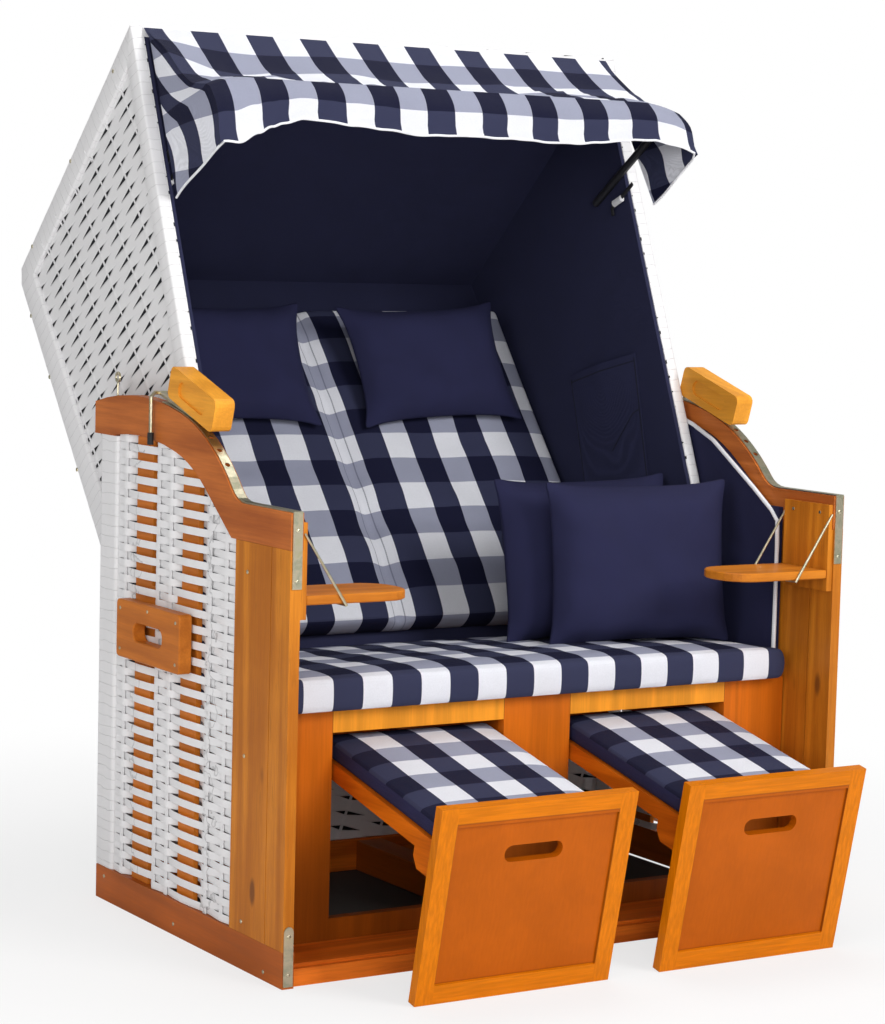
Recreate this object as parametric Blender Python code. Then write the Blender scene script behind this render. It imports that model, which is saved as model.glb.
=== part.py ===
"""Hooded beach chair: a wooden basket with a woven hood that tilts on two bolts.

Frame of the part: +X to the sitter's left-hand neighbour (the viewer's right), +Y to the back, +Z up.
The origin is the middle of the base on the floor. Lengths are metres, angles degrees.
Everything hangs on the empty "chair", inside which y = 0 is the basket's front face.
"""

from math import acos, atan2, cos, exp, pi, radians, sin, sqrt, tan

import bmesh
import bpy
from mathutils import Vector

# Overall sizes of the basket
WIDTH = 1.18
DEPTH = 0.75
GAP = 0.0003
CUT_OVERRUN = 0.02
EASED = 0.002
SHARP_ANGLE = 40

# Base frame on the floor
SIDE_RAIL_THICKNESS = 0.022
SIDE_RAIL_HEIGHT = 0.063
SILL_FRONT_INSET = 0.010
SILL_HEIGHT = 0.036
SILL_STEP_HEIGHT = 0.030
SILL_STEP_DEPTH = 0.012
BACK_RAIL_THICKNESS = 0.022
MIDDLE_RAIL_WIDTH = 0.060
MIDDLE_RAIL_HEIGHT = 0.060

# Boards at the front of each side
BOARD_THICKNESS = 0.020
FRONT_BOARD_WIDTH = 0.066
REAR_BOARD_WIDTH = 0.131
BOARD_SEAM_WIDTH = 0.002
BOARD_SEAM_DEPTH = 0.003

# Tilting axis of the hood
PIVOT_Y = 0.510
PIVOT_Z = 0.560
HOOD_RECLINE = 22.2

# Curved arm rail, which rises along a circle about the tilting axis
ARM_THICKNESS = 0.024
ARM_FRONT_TOP = 0.805
ARM_FRONT_BOTTOM = 0.742
ARM_KNEE_SETBACK = 0.0995
ARM_RADIUS = 0.394
ARM_HOLLOW_RADIUS = 0.060
ARM_DEPTH = 0.072
ARM_CROWN_START = 13.2
ARM_CROWN_RADIUS = 0.805
ARM_REAR_Y = 0.782
ARM_END_DEPTH = 0.060
ARM_FOOT_LENGTH = 0.088

# Perforated steel strip on the arm rail
STRIP_WIDTH = 0.018
STRIP_THICKNESS = 0.002
STRIP_START = 7.4
STRIP_LEG_BOTTOM = 0.677
LOCK_HOLE_RADIUS = 0.005
LOCK_HOLE_DEPTH = 0.014
LOCK_HOLES = 5
LOCK_HOLE_STEP = HOOD_RECLINE / 4
LOCK_ANGLE = 17.5

# Steel strips on the lower front corners
CORNER_STRIP_TOP = 0.107
CORNER_STRIP_FOOT = 0.004

# Woven sides of the basket
WEAVE_OUTER = 0.002
WEAVE_THICKNESS = 0.010
WINDOW_PITCH = 0.029
WINDOW_HEIGHT = 0.015
WINDOW_MARGIN = 0.016
SLAT_FRONTS = (0.363, 0.550)
SLAT_WIDTHS = (0.064, 0.068)
SLAT_THICKNESS = 0.0094
CLEAT_BOTTOM = 0.500
CLEAT_TOP = 0.620
POST_FRONT = 0.685
POST_WIDTH = 0.077
POST_OUTER = 0.002
POST_THICKNESS = 0.028
POST_ROUNDING = 0.010
BACK_WEAVE_TOP = 0.470
BACK_WEAVE_THICKNESS = 0.012

# Carrying handles
CARRY_FRONT = 0.362
CARRY_LENGTH = 0.262
CARRY_BOTTOM = 0.483
CARRY_HEIGHT = 0.107
CARRY_THICKNESS = 0.0255
CARRY_CORNER = 0.008
CARRY_SLOT_LENGTH = 0.120
CARRY_SLOT_HEIGHT = 0.034

# Fabric lining of the basket's sides
LINING_THICKNESS = 0.0115
LINING_FRONT = 0.150
LINING_RAIL_COVER = 0.036

# Seat box
SEAT_FRONT_Y = 0.134
SEAT_FRONT_THICKNESS = 0.020
SEAT_TOP = 0.445
SEAT_BOARD_THICKNESS = 0.018
SEAT_BOARD_REAR = 0.600
OPENING_WIDTH = 0.355
OPENING_CENTRE_X = 0.2495
OPENING_BOTTOM = 0.075
OPENING_TOP = 0.404
GUIDE_THICKNESS = 0.016
GUIDE_HEIGHT = 0.120
GUIDE_REAR_BAR = 0.022
GUIDE_SLOPE = 2.0
AXLE_RUNNING_CLEARANCE = 0.0005

# Pull-out footrests
PANEL_WIDTH = 0.390
PANEL_HEIGHT = 0.350
PANEL_THICKNESS = 0.020
PANEL_BORDER = 0.034
PANEL_RECESS = 0.004
PANEL_SLOT_LENGTH = 0.116
PANEL_SLOT_HEIGHT = 0.030
PANEL_SLOT_DROP = 0.092
FOOTREST_TILT = 12.05
FOOTREST_SIDE_CLEARANCE = 0.004
FOOTREST_RAIL_HEIGHT = 0.030
FOOTREST_RAIL_THICKNESS = 0.018
FOOTREST_RAIL_CENTRE = 0.259
FOOTREST_BLOCK_DROP = 0.035
FOOTREST_BLOCK_LENGTH = 0.080
FOOTREST_REACH = 0.4183
FOOTREST_TAIL = 0.030
FOOTREST_CROSS_WIDTH = 0.030
FOOTREST_CROSSES = 3
AXLE_RADIUS = 0.008
AXLE_GRIP = 0.012

# Fold-up tables
PLATE_DEPTH = 0.132
PLATE_FRONT = 0.003
PLATE_BOTTOM = 0.625
PLATE_TOP = 0.788
PLATE_THICKNESS = 0.0125
TABLE_TOP = 0.665
TABLE_THICKNESS = 0.016
TABLE_REACH = 0.215
TABLE_CORNER = 0.055
STAY_RADIUS = 0.002
STAY_TOP = 0.770
STAY_REACH = 0.075

# Hood, drawn upright with the tilting axis at its own origin
HOOD_OUTER = 0.041
HOOD_SIDE_THICKNESS = 0.024
HOOD_FRONT = -0.199
HOOD_TOP = 1.096
HOOD_BACK = 0.460
HOOD_BACK_TOP = 0.851
HOOD_FOOT = 0.190
HOOD_FOOT_DROP = 0.040
HOOD_BOTTOM_DROP = 0.050
HOOD_FRONT_END = 0.020
HOOD_BACK_ROUNDING = 0.030
HOOD_WALL = 0.022
HOOD_FRONT_MEMBER = 0.041
HOOD_ROOF_MEMBER = 0.052
HOOD_BACK_MEMBER = 0.062
HOOD_OUTER_RECESS = 0.003
HOOD_INNER_RECESS = 0.009
HOOD_LINING = 0.008
HOOD_HALF_ROOM = WIDTH / 2 - HOOD_OUTER - HOOD_SIDE_THICKNESS - GAP - HOOD_LINING
BOLT_RADIUS = 0.006
BOLT_CLEARANCE = 0.0006
BOLT_HEAD_RADIUS = 0.016
BOLT_HEAD_HEIGHT = 0.006

# Awning
BOW_PIVOT = (-0.0948, 0.8146)
BOW_BAR = (-0.3924, 0.8822)
BOW_RADIUS = 0.008
BOW_CORNER = 0.050
AWNING_THICKNESS = 0.003
AWNING_SIDE_OVERLAP = 0.025
AWNING_VALANCE = 0.082
AWNING_TIP = (-0.2484, 0.7411)
AWNING_WAVE = 0.006
RIDGE_LIFT_SHARE = 1.55
AWNING_WAVES = 7

# Lock levers
HANDLE_LENGTH = 0.185
HANDLE_HEIGHT = 0.060
HANDLE_INSET = 0.001
HANDLE_THICKNESS = 0.038
HANDLE_ROUNDING = 0.012
HANDLE_GRIP_LENGTH = 0.110
HANDLE_GRIP_HEIGHT = 0.030
HANDLE_GRIP_DEPTH = 0.004
ROD_RADIUS = 0.0035
ROD_OVER_ARM = 0.0212
ROD_ANGLE = 20.5431
ROD_OUTER = 0.009
ROD_LEG = 0.072
ARM_PLATE_WIDTH = 0.014
ARM_PLATE_THICKNESS = 0.004
PIN_RADIUS = 0.004
PIN_CLEARANCE = 0.0003
CAP_RADIUS = 0.0058
CAP_LENGTH = 0.022

# Cushions and pillows
SEAT_CUSHION_THICKNESS = 0.052
SEAT_CUSHION_FRONT = 0.105
SEAT_CUSHION_REAR = 0.560
SEAT_CUSHION_CROWN = 0.008
SEAT_CUSHION_FALL = 0.022
BACK_CUSHION_THICKNESS = 0.060
BACK_CUSHION_HEADROOM = 0.0915
BACK_CUSHION_CROWN = 0.008
BACK_CUSHION_START = 0.020
CUSHION_SIDE_GAP = 0.004
SEAM_DEPTH = 0.010
SEAM_WIDTH = 0.010
FOOT_CUSHION_THICKNESS = 0.034
FOOT_CUSHION_CROWN = 0.006
NECK_LENGTH = 0.7354 * HOOD_HALF_ROOM
NECK_HEIGHT = 0.270
NECK_THICKNESS = 0.090
NECK_CENTRE_X = 0.507 * HOOD_HALF_ROOM
NECK_FROM_TOP = 0.150
NECK_SEAT = 0.003
SCATTER_LENGTH = 0.774 * HOOD_HALF_ROOM
SCATTER_SIDE_GAP = 0.004
SCATTER_HEIGHT = 0.330
SCATTER_FRONT_X = HOOD_HALF_ROOM - SCATTER_SIDE_GAP - SCATTER_LENGTH / 2
SCATTER_FRONT_Y = 0.275
SCATTER_FRONT_LEAN = 80
SCATTER_FRONT_SINK = 0.0040
SCATTER_REAR_X = 0.513 * HOOD_HALF_ROOM
SCATTER_REAR_Y = 0.410
SCATTER_REAR_LEAN = 72
SCATTER_REAR_SINK = 0.0102
PILLOW_LIFT = 0.004
SCATTER_THICKNESS = 0.110

# Colours as linear red, green, blue
OAK_STAIN = (0.56, 0.17, 0.018)
OAK_STAIN_PALE = (0.72, 0.28, 0.035)
WHITE_WEAVE = (0.80, 0.80, 0.80)
NAVY = (0.012, 0.014, 0.045)
GINGHAM_MEAN = (0.20, 0.22, 0.32)
ZINC = (0.55, 0.50, 0.33)
BLACK = (0.01, 0.01, 0.01)

for thing in list(bpy.data.objects):
    bpy.data.objects.remove(thing, do_unlink=True)

materials = {}


def finish(name, colour, roughness=0.5, metallic=0.0):
    """One Principled material per piece."""
    made = bpy.data.materials.new(name)
    made.use_nodes = True
    shader = made.node_tree.nodes["Principled BSDF"]
    shader.inputs["Base Color"].default_value = (*colour, 1)
    shader.inputs["Roughness"].default_value = roughness
    shader.inputs["Metallic"].default_value = metallic
    return made


LOOKS = {
    "wood": (OAK_STAIN, 0.35, 0.0),
    "pale_wood": (OAK_STAIN_PALE, 0.35, 0.0),
    "weave": (WHITE_WEAVE, 0.45, 0.0),
    "navy": (NAVY, 0.85, 0.0),
    "gingham": (GINGHAM_MEAN, 0.85, 0.0),
    "zinc": (ZINC, 0.35, 1.0),
    "rubber": (BLACK, 0.7, 0.0),
}


def empty(name, parent, location=(0, 0, 0), tilt=0.0):
    """A guide that others hang on; tilt turns it about +X."""
    made = bpy.data.objects.new(name, None)
    bpy.context.scene.collection.objects.link(made)
    made.parent = parent
    made.location = location
    made.rotation_euler.x = radians(tilt)
    return made


def piece(name, form, look, parent, smooth=False):
    """Makes a named object from a bmesh, in its parent's frame."""
    bmesh.ops.remove_doubles(form, verts=form.verts, dist=GAP / 10)
    bmesh.ops.recalc_face_normals(form, faces=form.faces)
    if form.calc_volume(signed=True) < 0:
        bmesh.ops.reverse_faces(form, faces=form.faces)
    mesh = bpy.data.meshes.new(name)
    form.to_mesh(mesh)
    form.free()
    made = bpy.data.objects.new(name, mesh)
    bpy.context.scene.collection.objects.link(made)
    made.parent = parent
    if look:
        made.data.materials.append(finish(name, *LOOKS[look]))
    else:
        made.hide_render = True
        made.display_type = "WIRE"
    if smooth:
        mesh.shade_smooth()
        mesh.set_sharp_from_angle(angle=radians(SHARP_ANGLE))
    return made


def join_form(form, other):
    """Adds another bmesh's faces to a form."""
    spare = bpy.data.meshes.new("spare")
    other.to_mesh(spare)
    other.free()
    form.from_mesh(spare)
    bpy.data.meshes.remove(spare)
    return form


def prism(outline, low, high, axis="x"):
    """Extrudes a closed outline. Along x it holds (y, z), along y (x, z) and along z (x, y)."""
    form = bmesh.new()
    place = {
        "x": lambda a, b: (low, a, b),
        "y": lambda a, b: (a, low, b),
        "z": lambda a, b: (a, b, low),
    }[axis]
    shift = {"x": (1, 0, 0), "y": (0, 1, 0), "z": (0, 0, 1)}[axis]
    face = form.faces.new([form.verts.new(place(a, b)) for a, b in outline])
    grown = bmesh.ops.extrude_face_region(form, geom=[face])
    moved = [v for v in grown["geom"] if isinstance(v, bmesh.types.BMVert)]
    bmesh.ops.translate(form, verts=moved, vec=Vector(shift) * (high - low))
    return form


def block(x, y, z):
    """A box from three (low, high) pairs."""
    return prism([(y[0], z[0]), (y[1], z[0]), (y[1], z[1]), (y[0], z[1])], x[0], x[1])


def rod(start, end, radius, sides=12):
    """A straight round bar between two points."""
    form = bmesh.new()
    start, end = Vector(start), Vector(end)
    along = end - start
    turn = along.to_track_quat("Z", "Y").to_matrix().to_4x4()
    turn.translation = (start + end) / 2
    bmesh.ops.create_cone(
        form,
        cap_ends=True,
        segments=sides,
        radius1=radius,
        radius2=radius,
        depth=along.length,
        matrix=turn,
    )
    return form


def wire(points, radius, sides=8):
    """A tube through points, with its rings set across the bends."""
    form = bmesh.new()
    points = [Vector(p) for p in points]
    rings = []
    side = None
    for i, point in enumerate(points):
        back = points[max(i - 1, 0)]
        ahead = points[min(i + 1, len(points) - 1)]
        along = (ahead - back).normalized()
        if side is None:
            side = along.orthogonal().normalized()
        side = (side - along * side.dot(along)).normalized()
        other = along.cross(side)
        reach = radius
        if 0 < i < len(points) - 1:
            reach = radius / max(cos((ahead - point).angle(point - back) / 2), 0.5)
        ring = []
        for k in range(sides):
            turn = 2 * pi * k / sides
            ring.append(form.verts.new(point + reach * (cos(turn) * side + sin(turn) * other)))
        rings.append(ring)
    for one, two in zip(rings, rings[1:]):
        for k in range(sides):
            form.faces.new((one[k], one[(k + 1) % sides], two[(k + 1) % sides], two[k]))
    form.faces.new(rings[0])
    form.faces.new(rings[-1])
    return form


def arc(centre, radius, start, end, steps):
    """Points on a circle, between two angles measured from the first axis."""
    turns = [radians(start + (end - start) * i / steps) for i in range(steps + 1)]
    return [(centre[0] + radius * cos(t), centre[1] + radius * sin(t)) for t in turns]


def round_rect(a, b, corner, steps=3):
    """A rectangle between two (low, high) pairs with rounded corners."""
    corners = (
        (a[1] - corner, b[1] - corner, 0),
        (a[0] + corner, b[1] - corner, 90),
        (a[0] + corner, b[0] + corner, 180),
        (a[1] - corner, b[0] + corner, 270),
    )
    outline = []
    for ca, cb, start in corners:
        outline += arc((ca, cb), corner, start, start + 90, steps)
    return outline


def offset_path(path, distance):
    """Moves an open path sideways, to the left of its direction, keeping its corners."""
    normals = []
    for (a0, b0), (a1, b1) in zip(path, path[1:]):
        length = sqrt((a1 - a0) ** 2 + (b1 - b0) ** 2)
        normals.append((-(b1 - b0) / length, (a1 - a0) / length))
    moved = []
    for i, (a, b) in enumerate(path):
        one = normals[max(i - 1, 0)]
        two = normals[min(i, len(normals) - 1)]
        share = distance / (1 + one[0] * two[0] + one[1] * two[1])
        moved.append((a + share * (one[0] + two[0]), b + share * (one[1] + two[1])))
    return moved


def meet(a, b, c, d):
    """Where the line a-b meets the line c-d."""
    ux, uy = b[0] - a[0], b[1] - a[1]
    vx, vy = d[0] - c[0], d[1] - c[1]
    share = ((c[0] - a[0]) * vy - (c[1] - a[1]) * vx) / (ux * vy - uy * vx)
    return (a[0] + share * ux, a[1] + share * uy)


def boolean(target, other, operation="DIFFERENCE"):
    modifier = target.modifiers.new(other.name, "BOOLEAN")
    modifier.operation = operation
    modifier.object = other
    return target


def cut(target, form):
    """Cuts a hidden cutter from a piece."""
    name = f"cutter_{target.name}_{len(target.modifiers)}"
    return boolean(target, piece(name, form, None, target.parent))


def add(target, form):
    """Joins a hidden helper to a piece."""
    name = f"adder_{target.name}_{len(target.modifiers)}"
    return boolean(target, piece(name, form, None, target.parent), "UNION")


def ease(target, width, steps=1):
    """Softens a piece's edges."""
    modifier = target.modifiers.new("eased_edges", "BEVEL")
    modifier.width = width
    modifier.segments = steps
    modifier.limit_method = "ANGLE"
    modifier.angle_limit = radians(SHARP_ANGLE)
    return target


def span(side, near, far):
    """The (low, high) x of a layer given by its two depths from the basket's outer face."""
    ends = sorted((side * (WIDTH / 2 - near), side * (WIDTH / 2 - far)))
    return (ends[0], ends[1])


SIDES = {"left": -1, "right": 1}
PIVOT = (PIVOT_Y, PIVOT_Z)
BOARDS_REAR = FRONT_BOARD_WIDTH + REAR_BOARD_WIDTH
SLAT_OUTER = WEAVE_OUTER + WEAVE_THICKNESS + GAP
LINING_OUTER = ARM_THICKNESS + GAP

chair = empty("chair", None, (0, -DEPTH / 2, 0))
hood_axis = empty("hood_axis", chair, (0, PIVOT_Y, PIVOT_Z), -HOOD_RECLINE)


def arm_hollow():
    """Centre and end angle of the hollow between the flat front and the rising arc."""
    rise = ARM_FRONT_TOP + ARM_HOLLOW_RADIUS - PIVOT_Z
    reach = sqrt((ARM_RADIUS + ARM_HOLLOW_RADIUS) ** 2 - rise**2)
    return (PIVOT_Y - reach, PIVOT_Z + rise), -180 / pi * atan2(rise, reach)


def crown_centre():
    """Centre of the arm rail's rear crown, which runs on smoothly from the rising arc."""
    turn = radians(90 + ARM_CROWN_START)
    reach = ARM_RADIUS - ARM_CROWN_RADIUS
    return (PIVOT_Y + reach * cos(turn), PIVOT_Z + reach * sin(turn))


def crown_angle(y, radius=ARM_CROWN_RADIUS):
    return 180 / pi * acos((y - crown_centre()[0]) / radius)


def arm_top(rear_angle):
    """The arm rail's top from the front to an angle on its crown."""
    centre, hollow_end = arm_hollow()
    path = [(0, ARM_FRONT_TOP)]
    path += arc(centre, ARM_HOLLOW_RADIUS, -90, hollow_end, 4)
    path += arc(PIVOT, ARM_RADIUS, 180 + hollow_end, 90 + ARM_CROWN_START, 9)[1:]
    path += arc(crown_centre(), ARM_CROWN_RADIUS, 90 + ARM_CROWN_START, rear_angle, 7)[1:]
    return path


def arm_bottom():
    """The arm rail's underside from the rear to the front."""
    crown_radius = ARM_CROWN_RADIUS - ARM_DEPTH
    rise_radius = ARM_RADIUS - ARM_DEPTH
    knee = (PIVOT_Y - ARM_RADIUS + ARM_KNEE_SETBACK, ARM_FRONT_BOTTOM)
    away = sqrt((knee[0] - PIVOT_Y) ** 2 + (knee[1] - PIVOT_Z) ** 2)
    at = atan2(knee[1] - PIVOT_Z, knee[0] - PIVOT_Y) - acos(rise_radius / away)
    foot = ARM_REAR_Y - ARM_FOOT_LENGTH
    path = arc(
        crown_centre(), crown_radius, crown_angle(foot, crown_radius), 90 + ARM_CROWN_START, 5
    )
    path += arc(PIVOT, rise_radius, 90 + ARM_CROWN_START, 180 / pi * at, 5)[1:]
    return path + [knee]


def arm_rear():
    """The end grain of the arm rail, from its top to its foot's front."""
    top = arm_top(crown_angle(ARM_REAR_Y))[-1]
    foot = ARM_REAR_Y - ARM_FOOT_LENGTH
    return [(ARM_REAR_Y, top[1] - ARM_END_DEPTH), (foot, top[1] - ARM_END_DEPTH)]


def height_under_arm(y):
    """How high the space under the arm rail is at y."""
    path = [(ARM_REAR_Y, arm_rear()[0][1])] + arm_rear()[1:] + arm_bottom()
    for (y1, z1), (y0, z0) in zip(path, path[1:]):
        if y0 <= y <= y1 and y1 > y0:
            return z0 + (z1 - z0) * (y - y0) / (y1 - y0)
    return ARM_FRONT_BOTTOM


def make_base():
    """The frame on the floor, with the sides' inner slats and the hood bolts' cleats."""
    inner = WIDTH / 2 - SIDE_RAIL_THICKNESS - GAP
    sill_back = SEAT_FRONT_Y + SEAT_FRONT_THICKNESS
    step = SILL_FRONT_INSET + SILL_STEP_DEPTH
    sill = [
        (SILL_FRONT_INSET, 0),
        (SILL_FRONT_INSET, SILL_STEP_HEIGHT),
        (step, SILL_STEP_HEIGHT),
        (step, SILL_HEIGHT),
        (sill_back, SILL_HEIGHT),
        (sill_back, 0),
    ]
    piece("base_front_rail", prism(sill, -inner, inner), "wood", chair)
    back = (DEPTH - BACK_RAIL_THICKNESS, DEPTH)
    form = block((-inner, inner), back, (0, SIDE_RAIL_HEIGHT))
    ease(piece("base_back_rail", form, "wood", chair), EASED)
    half = MIDDLE_RAIL_WIDTH / 2
    form = block((-half, half), (sill_back + GAP, back[0] - GAP), (0, MIDDLE_RAIL_HEIGHT))
    ease(piece("base_middle_rail", form, "wood", chair), EASED)
    for hand, side in SIDES.items():
        x = span(side, 0, SIDE_RAIL_THICKNESS)
        rail = piece(
            f"side_rail_{hand}", block(x, (0, DEPTH), (0, SIDE_RAIL_HEIGHT)), "wood", chair
        )
        x = span(side, SLAT_OUTER, SLAT_OUTER + SLAT_THICKNESS)
        root = SIDE_RAIL_HEIGHT / 2
        for front, width in zip(SLAT_FRONTS, SLAT_WIDTHS):
            top = min(height_under_arm(front), height_under_arm(front + width)) - GAP
            add(rail, block(x, (front, front + width), (root, top)))
        cleat = (SLAT_FRONTS[0] + SLAT_WIDTHS[0] / 2, SLAT_FRONTS[1] + SLAT_WIDTHS[1] / 2)
        add(rail, block(x, cleat, (CLEAT_BOTTOM, CLEAT_TOP)))
        drill_pivot(rail, side, chair)


def drill_pivot(target, side, parent):
    """The hole for the hood's bolt."""
    y, z = PIVOT if parent is chair else (0, 0)
    near, far = span(side, -CUT_OVERRUN, HOOD_OUTER + HOOD_SIDE_THICKNESS + CUT_OVERRUN)
    cut(target, rod((near, y, z), (far, y, z), BOLT_RADIUS + BOLT_CLEARANCE, 16))


def make_boards():
    """Two upright boards at each front corner, read as one panel with an open seam."""
    seam = (
        FRONT_BOARD_WIDTH - BOARD_SEAM_WIDTH / 2,
        FRONT_BOARD_WIDTH + BOARD_SEAM_WIDTH / 2,
    )
    depths = (0, BOARD_SEAM_DEPTH, BOARD_THICKNESS - BOARD_SEAM_DEPTH, BOARD_THICKNESS)
    for hand, side in SIDES.items():
        x = [side * (WIDTH / 2 - depth) for depth in depths]
        plan = [
            (x[0], 0),
            (x[0], seam[0]),
            (x[1], seam[0]),
            (x[1], seam[1]),
            (x[0], seam[1]),
            (x[0], BOARDS_REAR),
            (x[3], BOARDS_REAR),
            (x[3], seam[1]),
            (x[2], seam[1]),
            (x[2], seam[0]),
            (x[3], seam[0]),
            (x[3], 0),
        ]
        form = prism(plan, SIDE_RAIL_HEIGHT + GAP, ARM_FRONT_BOTTOM - GAP, "z")
        piece(f"side_board_{hand}", form, "wood", chair)


def lock_cutter(x, angle, radius, reach):
    """A drill aimed at the tilting axis, through the rail's top at an angle ahead of upright."""
    turn = radians(90 + angle)
    ends = (ARM_RADIUS - reach, ARM_RADIUS + CUT_OVERRUN)
    points = [(x, PIVOT_Y + r * cos(turn), PIVOT_Z + r * sin(turn)) for r in ends]
    return rod(points[0], points[1], radius)


def make_arms():
    """Curved arm rails and the drilled steel strips on them."""
    outline = arm_top(crown_angle(ARM_REAR_Y)) + arm_rear() + arm_bottom()
    outline.append((0, ARM_FRONT_BOTTOM))
    path = arm_top(90 + STRIP_START)
    path = [(0, STRIP_LEG_BOTTOM)] + path
    strip = offset_path(path, GAP + STRIP_THICKNESS) + offset_path(path, GAP)[::-1]
    inset = (ARM_THICKNESS - STRIP_WIDTH) / 2
    for hand, side in SIDES.items():
        rail = piece(
            f"arm_rail_{hand}", prism(outline, *span(side, 0, ARM_THICKNESS)), "wood", chair
        )
        metal = piece(
            f"arm_strip_{hand}",
            prism(strip, *span(side, inset, inset + STRIP_WIDTH)),
            "zinc",
            chair,
        )
        middle = side * (WIDTH / 2 - ARM_THICKNESS / 2)
        for k in range(LOCK_HOLES):
            angle = LOCK_ANGLE + k * LOCK_HOLE_STEP
            for target in (rail, metal):
                cut(target, lock_cutter(middle, angle, LOCK_HOLE_RADIUS, LOCK_HOLE_DEPTH))
        ease(rail, EASED)
        half = STRIP_WIDTH / 2
        middle = side * (WIDTH / 2 - BOARD_THICKNESS / 2)
        plan = [(middle - half, CORNER_STRIP_FOOT), (middle + half, CORNER_STRIP_FOOT)]
        plan += arc((middle, CORNER_STRIP_TOP - half), half, 0, 180, 6)
        form = prism(plan, -GAP - STRIP_THICKNESS, -GAP, "y")
        piece(f"corner_bracket_{hand}", form, "zinc", chair)


def make_woven_sides():
    """Side panels with rows of windows over the slats, the rear posts and the back panel."""
    low = SIDE_RAIL_HEIGHT + GAP
    front, rear = BOARDS_REAR + GAP, POST_FRONT - GAP
    under = [p for p in arm_bottom() if front < p[0] < rear]
    top = offset_path([(rear, height_under_arm(rear))] + under + [(front, ARM_FRONT_BOTTOM)], GAP)
    outline = [(front, low), (rear, low)] + top
    for hand, side in SIDES.items():
        x = span(side, WEAVE_OUTER, WEAVE_OUTER + WEAVE_THICKNESS)
        panel = piece(f"side_weave_{hand}", prism(outline, *x), "weave", chair)
        windows = bmesh.new()
        for start, width in zip(SLAT_FRONTS, SLAT_WIDTHS):
            ends = (start, start + width)
            ceiling = min(height_under_arm(start), height_under_arm(ends[1]))
            rows = int((ceiling - low - 2 * WINDOW_MARGIN + WINDOW_HEIGHT) / WINDOW_PITCH)
            for row in range(rows):
                z = low + WINDOW_MARGIN + row * WINDOW_PITCH
                through = (x[0] - CUT_OVERRUN, x[1] + CUT_OVERRUN)
                join_form(windows, block(through, ends, (z, z + WINDOW_HEIGHT)))
        cut(panel, windows)
        x = span(side, POST_OUTER, POST_OUTER + POST_THICKNESS)
        plan = round_rect(x, (POST_FRONT, POST_FRONT + POST_WIDTH), POST_ROUNDING)
        top_of_post = arm_rear()[0][1] - GAP
        form = prism(plan, SIDE_RAIL_HEIGHT + GAP, top_of_post, "z")
        piece(f"rear_post_{hand}", form, "weave", chair, smooth=True)
    reach = WIDTH / 2 - POST_OUTER - POST_THICKNESS - GAP
    rear = DEPTH - BACK_RAIL_THICKNESS / 2 + BACK_WEAVE_THICKNESS / 2
    form = block(
        (-reach, reach), (rear - BACK_WEAVE_THICKNESS, rear), (low, BACK_WEAVE_TOP)
    )
    ease(piece("back_weave", form, "weave", chair), EASED)


def make_side_linings():
    """Padded fabric inside the basket's sides, up to half way over the arm rail."""
    front, rear = LINING_FRONT, POST_FRONT - GAP
    upper = offset_path(arm_bottom()[::-1], LINING_RAIL_COVER)
    upper = [p for p in upper if front < p[0] < rear]
    bottom = SEAT_TOP + GAP
    outline = [(rear, bottom), (front, bottom), (front, upper[0][1])] + upper
    outline.append((rear, upper[-1][1]))
    for hand, side in SIDES.items():
        x = span(side, LINING_OUTER, LINING_OUTER + LINING_THICKNESS)
        lining = piece(f"side_lining_{hand}", prism(outline, *x), "navy", chair)
        drill_pivot(lining, side, chair)


def make_carry_handles():
    """A screwed-on block with a finger slot on each side."""
    y = (CARRY_FRONT, CARRY_FRONT + CARRY_LENGTH)
    z = (CARRY_BOTTOM, CARRY_BOTTOM + CARRY_HEIGHT)
    middle = ((y[0] + y[1]) / 2, (z[0] + z[1]) / 2)
    slot = (
        (middle[0] - CARRY_SLOT_LENGTH / 2, middle[0] + CARRY_SLOT_LENGTH / 2),
        (middle[1] - CARRY_SLOT_HEIGHT / 2, middle[1] + CARRY_SLOT_HEIGHT / 2),
    )
    for hand, side in SIDES.items():
        back = WEAVE_OUTER - GAP
        x = span(side, back - CARRY_THICKNESS, back)
        grip = piece(
            f"carry_handle_{hand}", prism(round_rect(y, z, CARRY_CORNER), *x), "wood", chair
        )
        through = (x[0] - CUT_OVERRUN, x[1] + CUT_OVERRUN)
        hole = round_rect(*slot, CARRY_SLOT_HEIGHT * 0.49, 5)
        cut(grip, prism(hole, *through))
        ease(grip, EASED)


def footrest_places():
    """The footrest's axle pulled out and pushed in, as (y, z), both in the basket's frame."""
    tilt = radians(FOOTREST_TILT)
    out = (
        SEAT_FRONT_Y + SEAT_FRONT_THICKNESS + AXLE_RADIUS + FOOTREST_SIDE_CLEARANCE,
        FOOTREST_REACH * sin(tilt) + FOOTREST_RAIL_CENTRE * cos(tilt),
    )
    pushed = SEAT_FRONT_Y - GAP - PANEL_THICKNESS + FOOTREST_REACH
    return out, (pushed, out[1] - (pushed - out[0]) * tan(radians(GUIDE_SLOPE)))


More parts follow.
